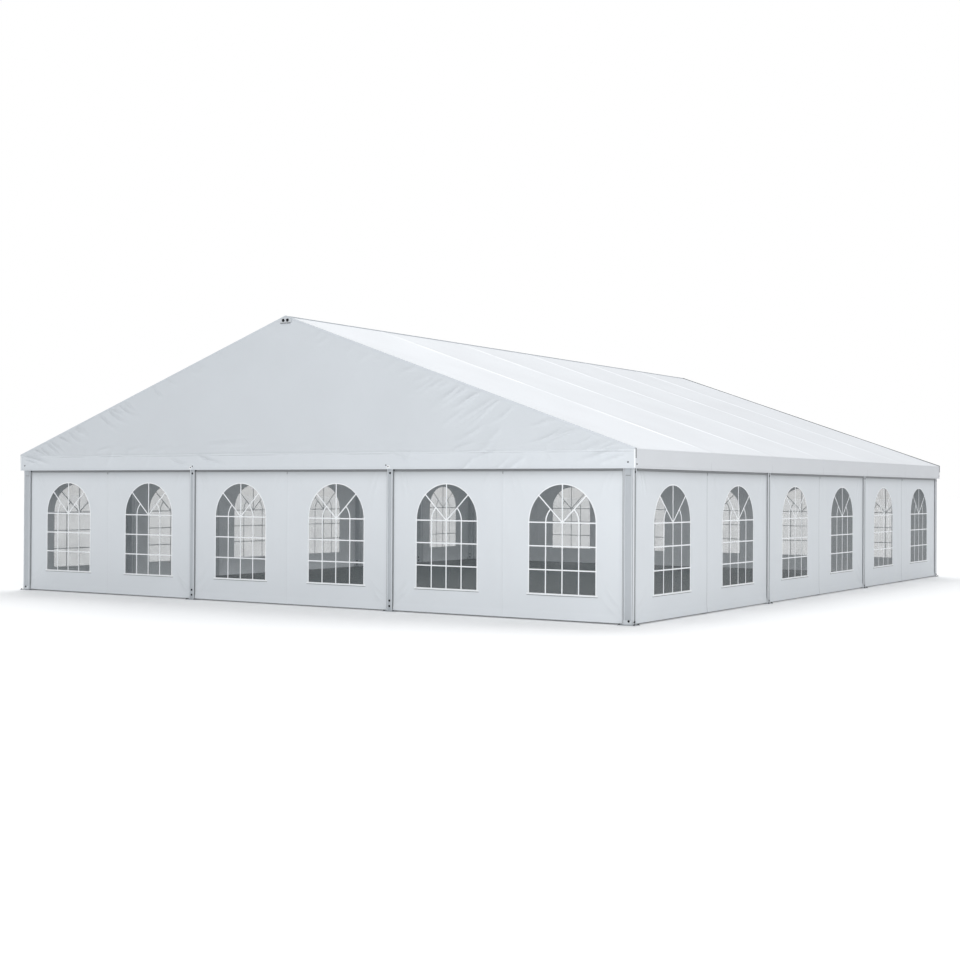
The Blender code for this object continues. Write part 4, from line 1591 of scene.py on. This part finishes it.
def fitEnds():
    strips = gableStrips()
    fittings = apexFitting()
    for piece in cornerFitting() + valanceFitting():
        fittings += [piece, copyTo(piece, "twin", Matrix.Diagonal((-1, 1, 1, 1)))]
    metal = joinAll("gableFittingsFront", fittings)
    back = Matrix.Rotation(math.pi, 4, "Z")
    for piece, slot in ((strips, "roof_pvc"), (metal, "aluminium")):
        twin = copyTo(piece, piece.name.replace("Front", "Back"), back)
        for made in (piece, twin):
            finishPiece(made, slot)


def ridgeCap():
    # a grey strip over the ridge, bent to both slopes
    half, high, end = ridgeStrip["half"], ridgeStrip["high"], ridgeStrip["end"]
    top = tent["ridgeZ"] + high
    low = top - high - slope * half
    piece = addBlock("ridgeStrip", (-half, -end, low), (half, end, top), profileShade)
    for side in (-1, 1):
        cutAway(piece, (0, 0, top), Vector((side * slope, 0, 1)).normalized())
    roundEdges(piece, 0.002)
    finishPiece(piece, "aluminium")


fitEnds()
ridgeCap()
print("strips and fittings on")

# Floor of loose panels on bearers

floor = {"across": 24, "along": 12, "joint": 0.004, "bearer": 0.022}


def floorPiece():
    low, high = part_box("floor_deck")
    panelX, panelY = (high.x - low.x) / floor["across"], (high.y - low.y) / floor["along"]
    joint = floor["joint"] / 2
    panel = addBlock(
        "floorDeck", (low.x + joint, low.y + joint, floor["bearer"]), (low.x + panelX - joint, low.y + panelY - joint, high.z), floorBoards
    )
    roundEdges(panel, 0.003, 1)
    for axis, count, step in ((0, floor["across"], panelX), (1, floor["along"], panelY)):
        offset = [0.0, 0.0, 0.0]
        offset[axis] = step
        settings = {"use_relative_offset": False, "use_constant_offset": True, "constant_offset_displace": offset, "count": count}
        applyModifier(panel, "ARRAY", settings)
    bearers = []
    for row in range(floor["along"] + 1):
        middle = low.y + panelY * row
        start, end = max(low.y, middle - 0.05), min(high.y, middle + 0.05)
        bearer = addBlock("bearer", (low.x, start, 0), (high.x, end, floor["bearer"] - 0.0003), floorBoards)
        bearers.append(roundEdges(bearer, 0.002, 1))
    return finishPiece(joinAll("floorDeck", [panel] + bearers), "floor_boards", "floor_deck")


floorPiece()
print("floor laid")

# Beams and purlins stay as they are in the frame, in drawn aluminium
for name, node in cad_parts.items():
    if not node.hide_render:
        node.data.materials.clear()
        node.data.materials.append(profileMetal)

# Ground, light and camera

stage = {"size": 900.0, "color": (0.955, 0.957, 0.96), "glow": 0.09}
light = {
    "sky": 0.645,
    "skyColor": (0.97, 0.985, 1.0),
    "key": 1.27,  # high, from behind on the left: the ground in front is in soft shade
    "keyAngle": 40.0,
    "keyFrom": (-0.25, 0.50, 0.83),
    "fill": 1100.0,  # a large soft lamp in front of the right corner
    "fillSize": 6.0,
    "fillAt": (16.5, -26.0, 8.5),
    "inner": 370.0,  # daylight that the cloth lets through
    "innerSize": (11.0, 14.0),
    "innerHigh": 3.3,
}
viewpoint = {"place": (18.7018, -31.3913, 2.2483), "yaw": 32.5347, "pitch": 0.3993, "roll": 0.3141, "lens": 55.84}


def setStage():
    bpy.ops.object.select_all(action="DESELECT")
    bpy.ops.mesh.primitive_plane_add(size=stage["size"], location=(0, 0, -0.0005))
    ground = settle(bpy.context.object, "ground")
    finish = Finish("paleGround", stage["color"], 1.0, specular=0.0)
    finish.set({"Emission Color": (1.0, 1.0, 1.0, 1.0), "Emission Strength": stage["glow"]})
    ground.data.materials.append(finish.material)


def setLight():
    # the sky lights softly, and shows white behind the tent
    world = bpy.data.worlds.new("studio")
    bpy.context.scene.world = world
    world.use_nodes = True
    nodes, links = world.node_tree.nodes, world.node_tree.links
    nodes.clear()
    sky, backdrop = nodes.new("ShaderNodeBackground"), nodes.new("ShaderNodeBackground")
    sky.inputs["Color"].default_value = (*light["skyColor"], 1.0)
    sky.inputs["Strength"].default_value = light["sky"]
    backdrop.inputs["Color"].default_value = (1.0, 1.0, 1.0, 1.0)
    path, mix, out = nodes.new("ShaderNodeLightPath"), nodes.new("ShaderNodeMixShader"), nodes.new("ShaderNodeOutputWorld")
    links.new(path.outputs["Is Camera Ray"], mix.inputs[0])
    links.new(sky.outputs[0], mix.inputs[1])
    links.new(backdrop.outputs[0], mix.inputs[2])
    links.new(mix.outputs[0], out.inputs["Surface"])
    key = addLight("SUN", "skylight", (0, 0, 30), Vector(light["keyFrom"]), light["key"])
    key.data.angle = math.radians(light["keyAngle"])
    corner = Vector((tent["eaveX"], -tent["gableY"], 1.5))
    fill = addLight("AREA", "fill", light["fillAt"], Vector(light["fillAt"]) - corner, light["fill"])
    fill.data.shape, fill.data.size = "DISK", light["fillSize"]
    inner = addLight("AREA", "inner", (0, 0, light["innerHigh"]), Vector((0, 0, 1)), light["inner"])
    inner.data.shape = "RECTANGLE"
    inner.data.size, inner.data.size_y = light["innerSize"]


def addLight(kind, name, place, towardsLight, power):
    # a light at its place, invisible itself, that shines against the given direction
    bpy.ops.object.light_add(type=kind, location=place)
    made = bpy.context.object
    made.name = name
    made.data.energy = power
    made.rotation_euler = towardsLight.to_track_quat("Z", "Y").to_euler()
    made.visible_camera = False
    return made


def setCamera():
    bpy.ops.object.camera_add(location=viewpoint["place"])
    camera = bpy.context.object
    camera.name = "mainCamera"
    camera.data.lens = viewpoint["lens"]
    camera.data.sensor_width = 36.0
    camera.data.clip_end = 500.0
    yaw, pitch, roll = (math.radians(viewpoint[key]) for key in ("yaw", "pitch", "roll"))
    turn = Matrix.Rotation(yaw, 3, "Z") @ Matrix.Rotation(math.pi / 2 + pitch, 3, "X") @ Matrix.Rotation(roll, 3, "Z")
    camera.rotation_euler = turn.to_euler()
    bpy.context.scene.camera = camera


discard(bolt)
setStage()
setLight()
setCamera()
bpy.context.scene.view_settings.view_transform = "Standard"
print("stage, light and camera set")
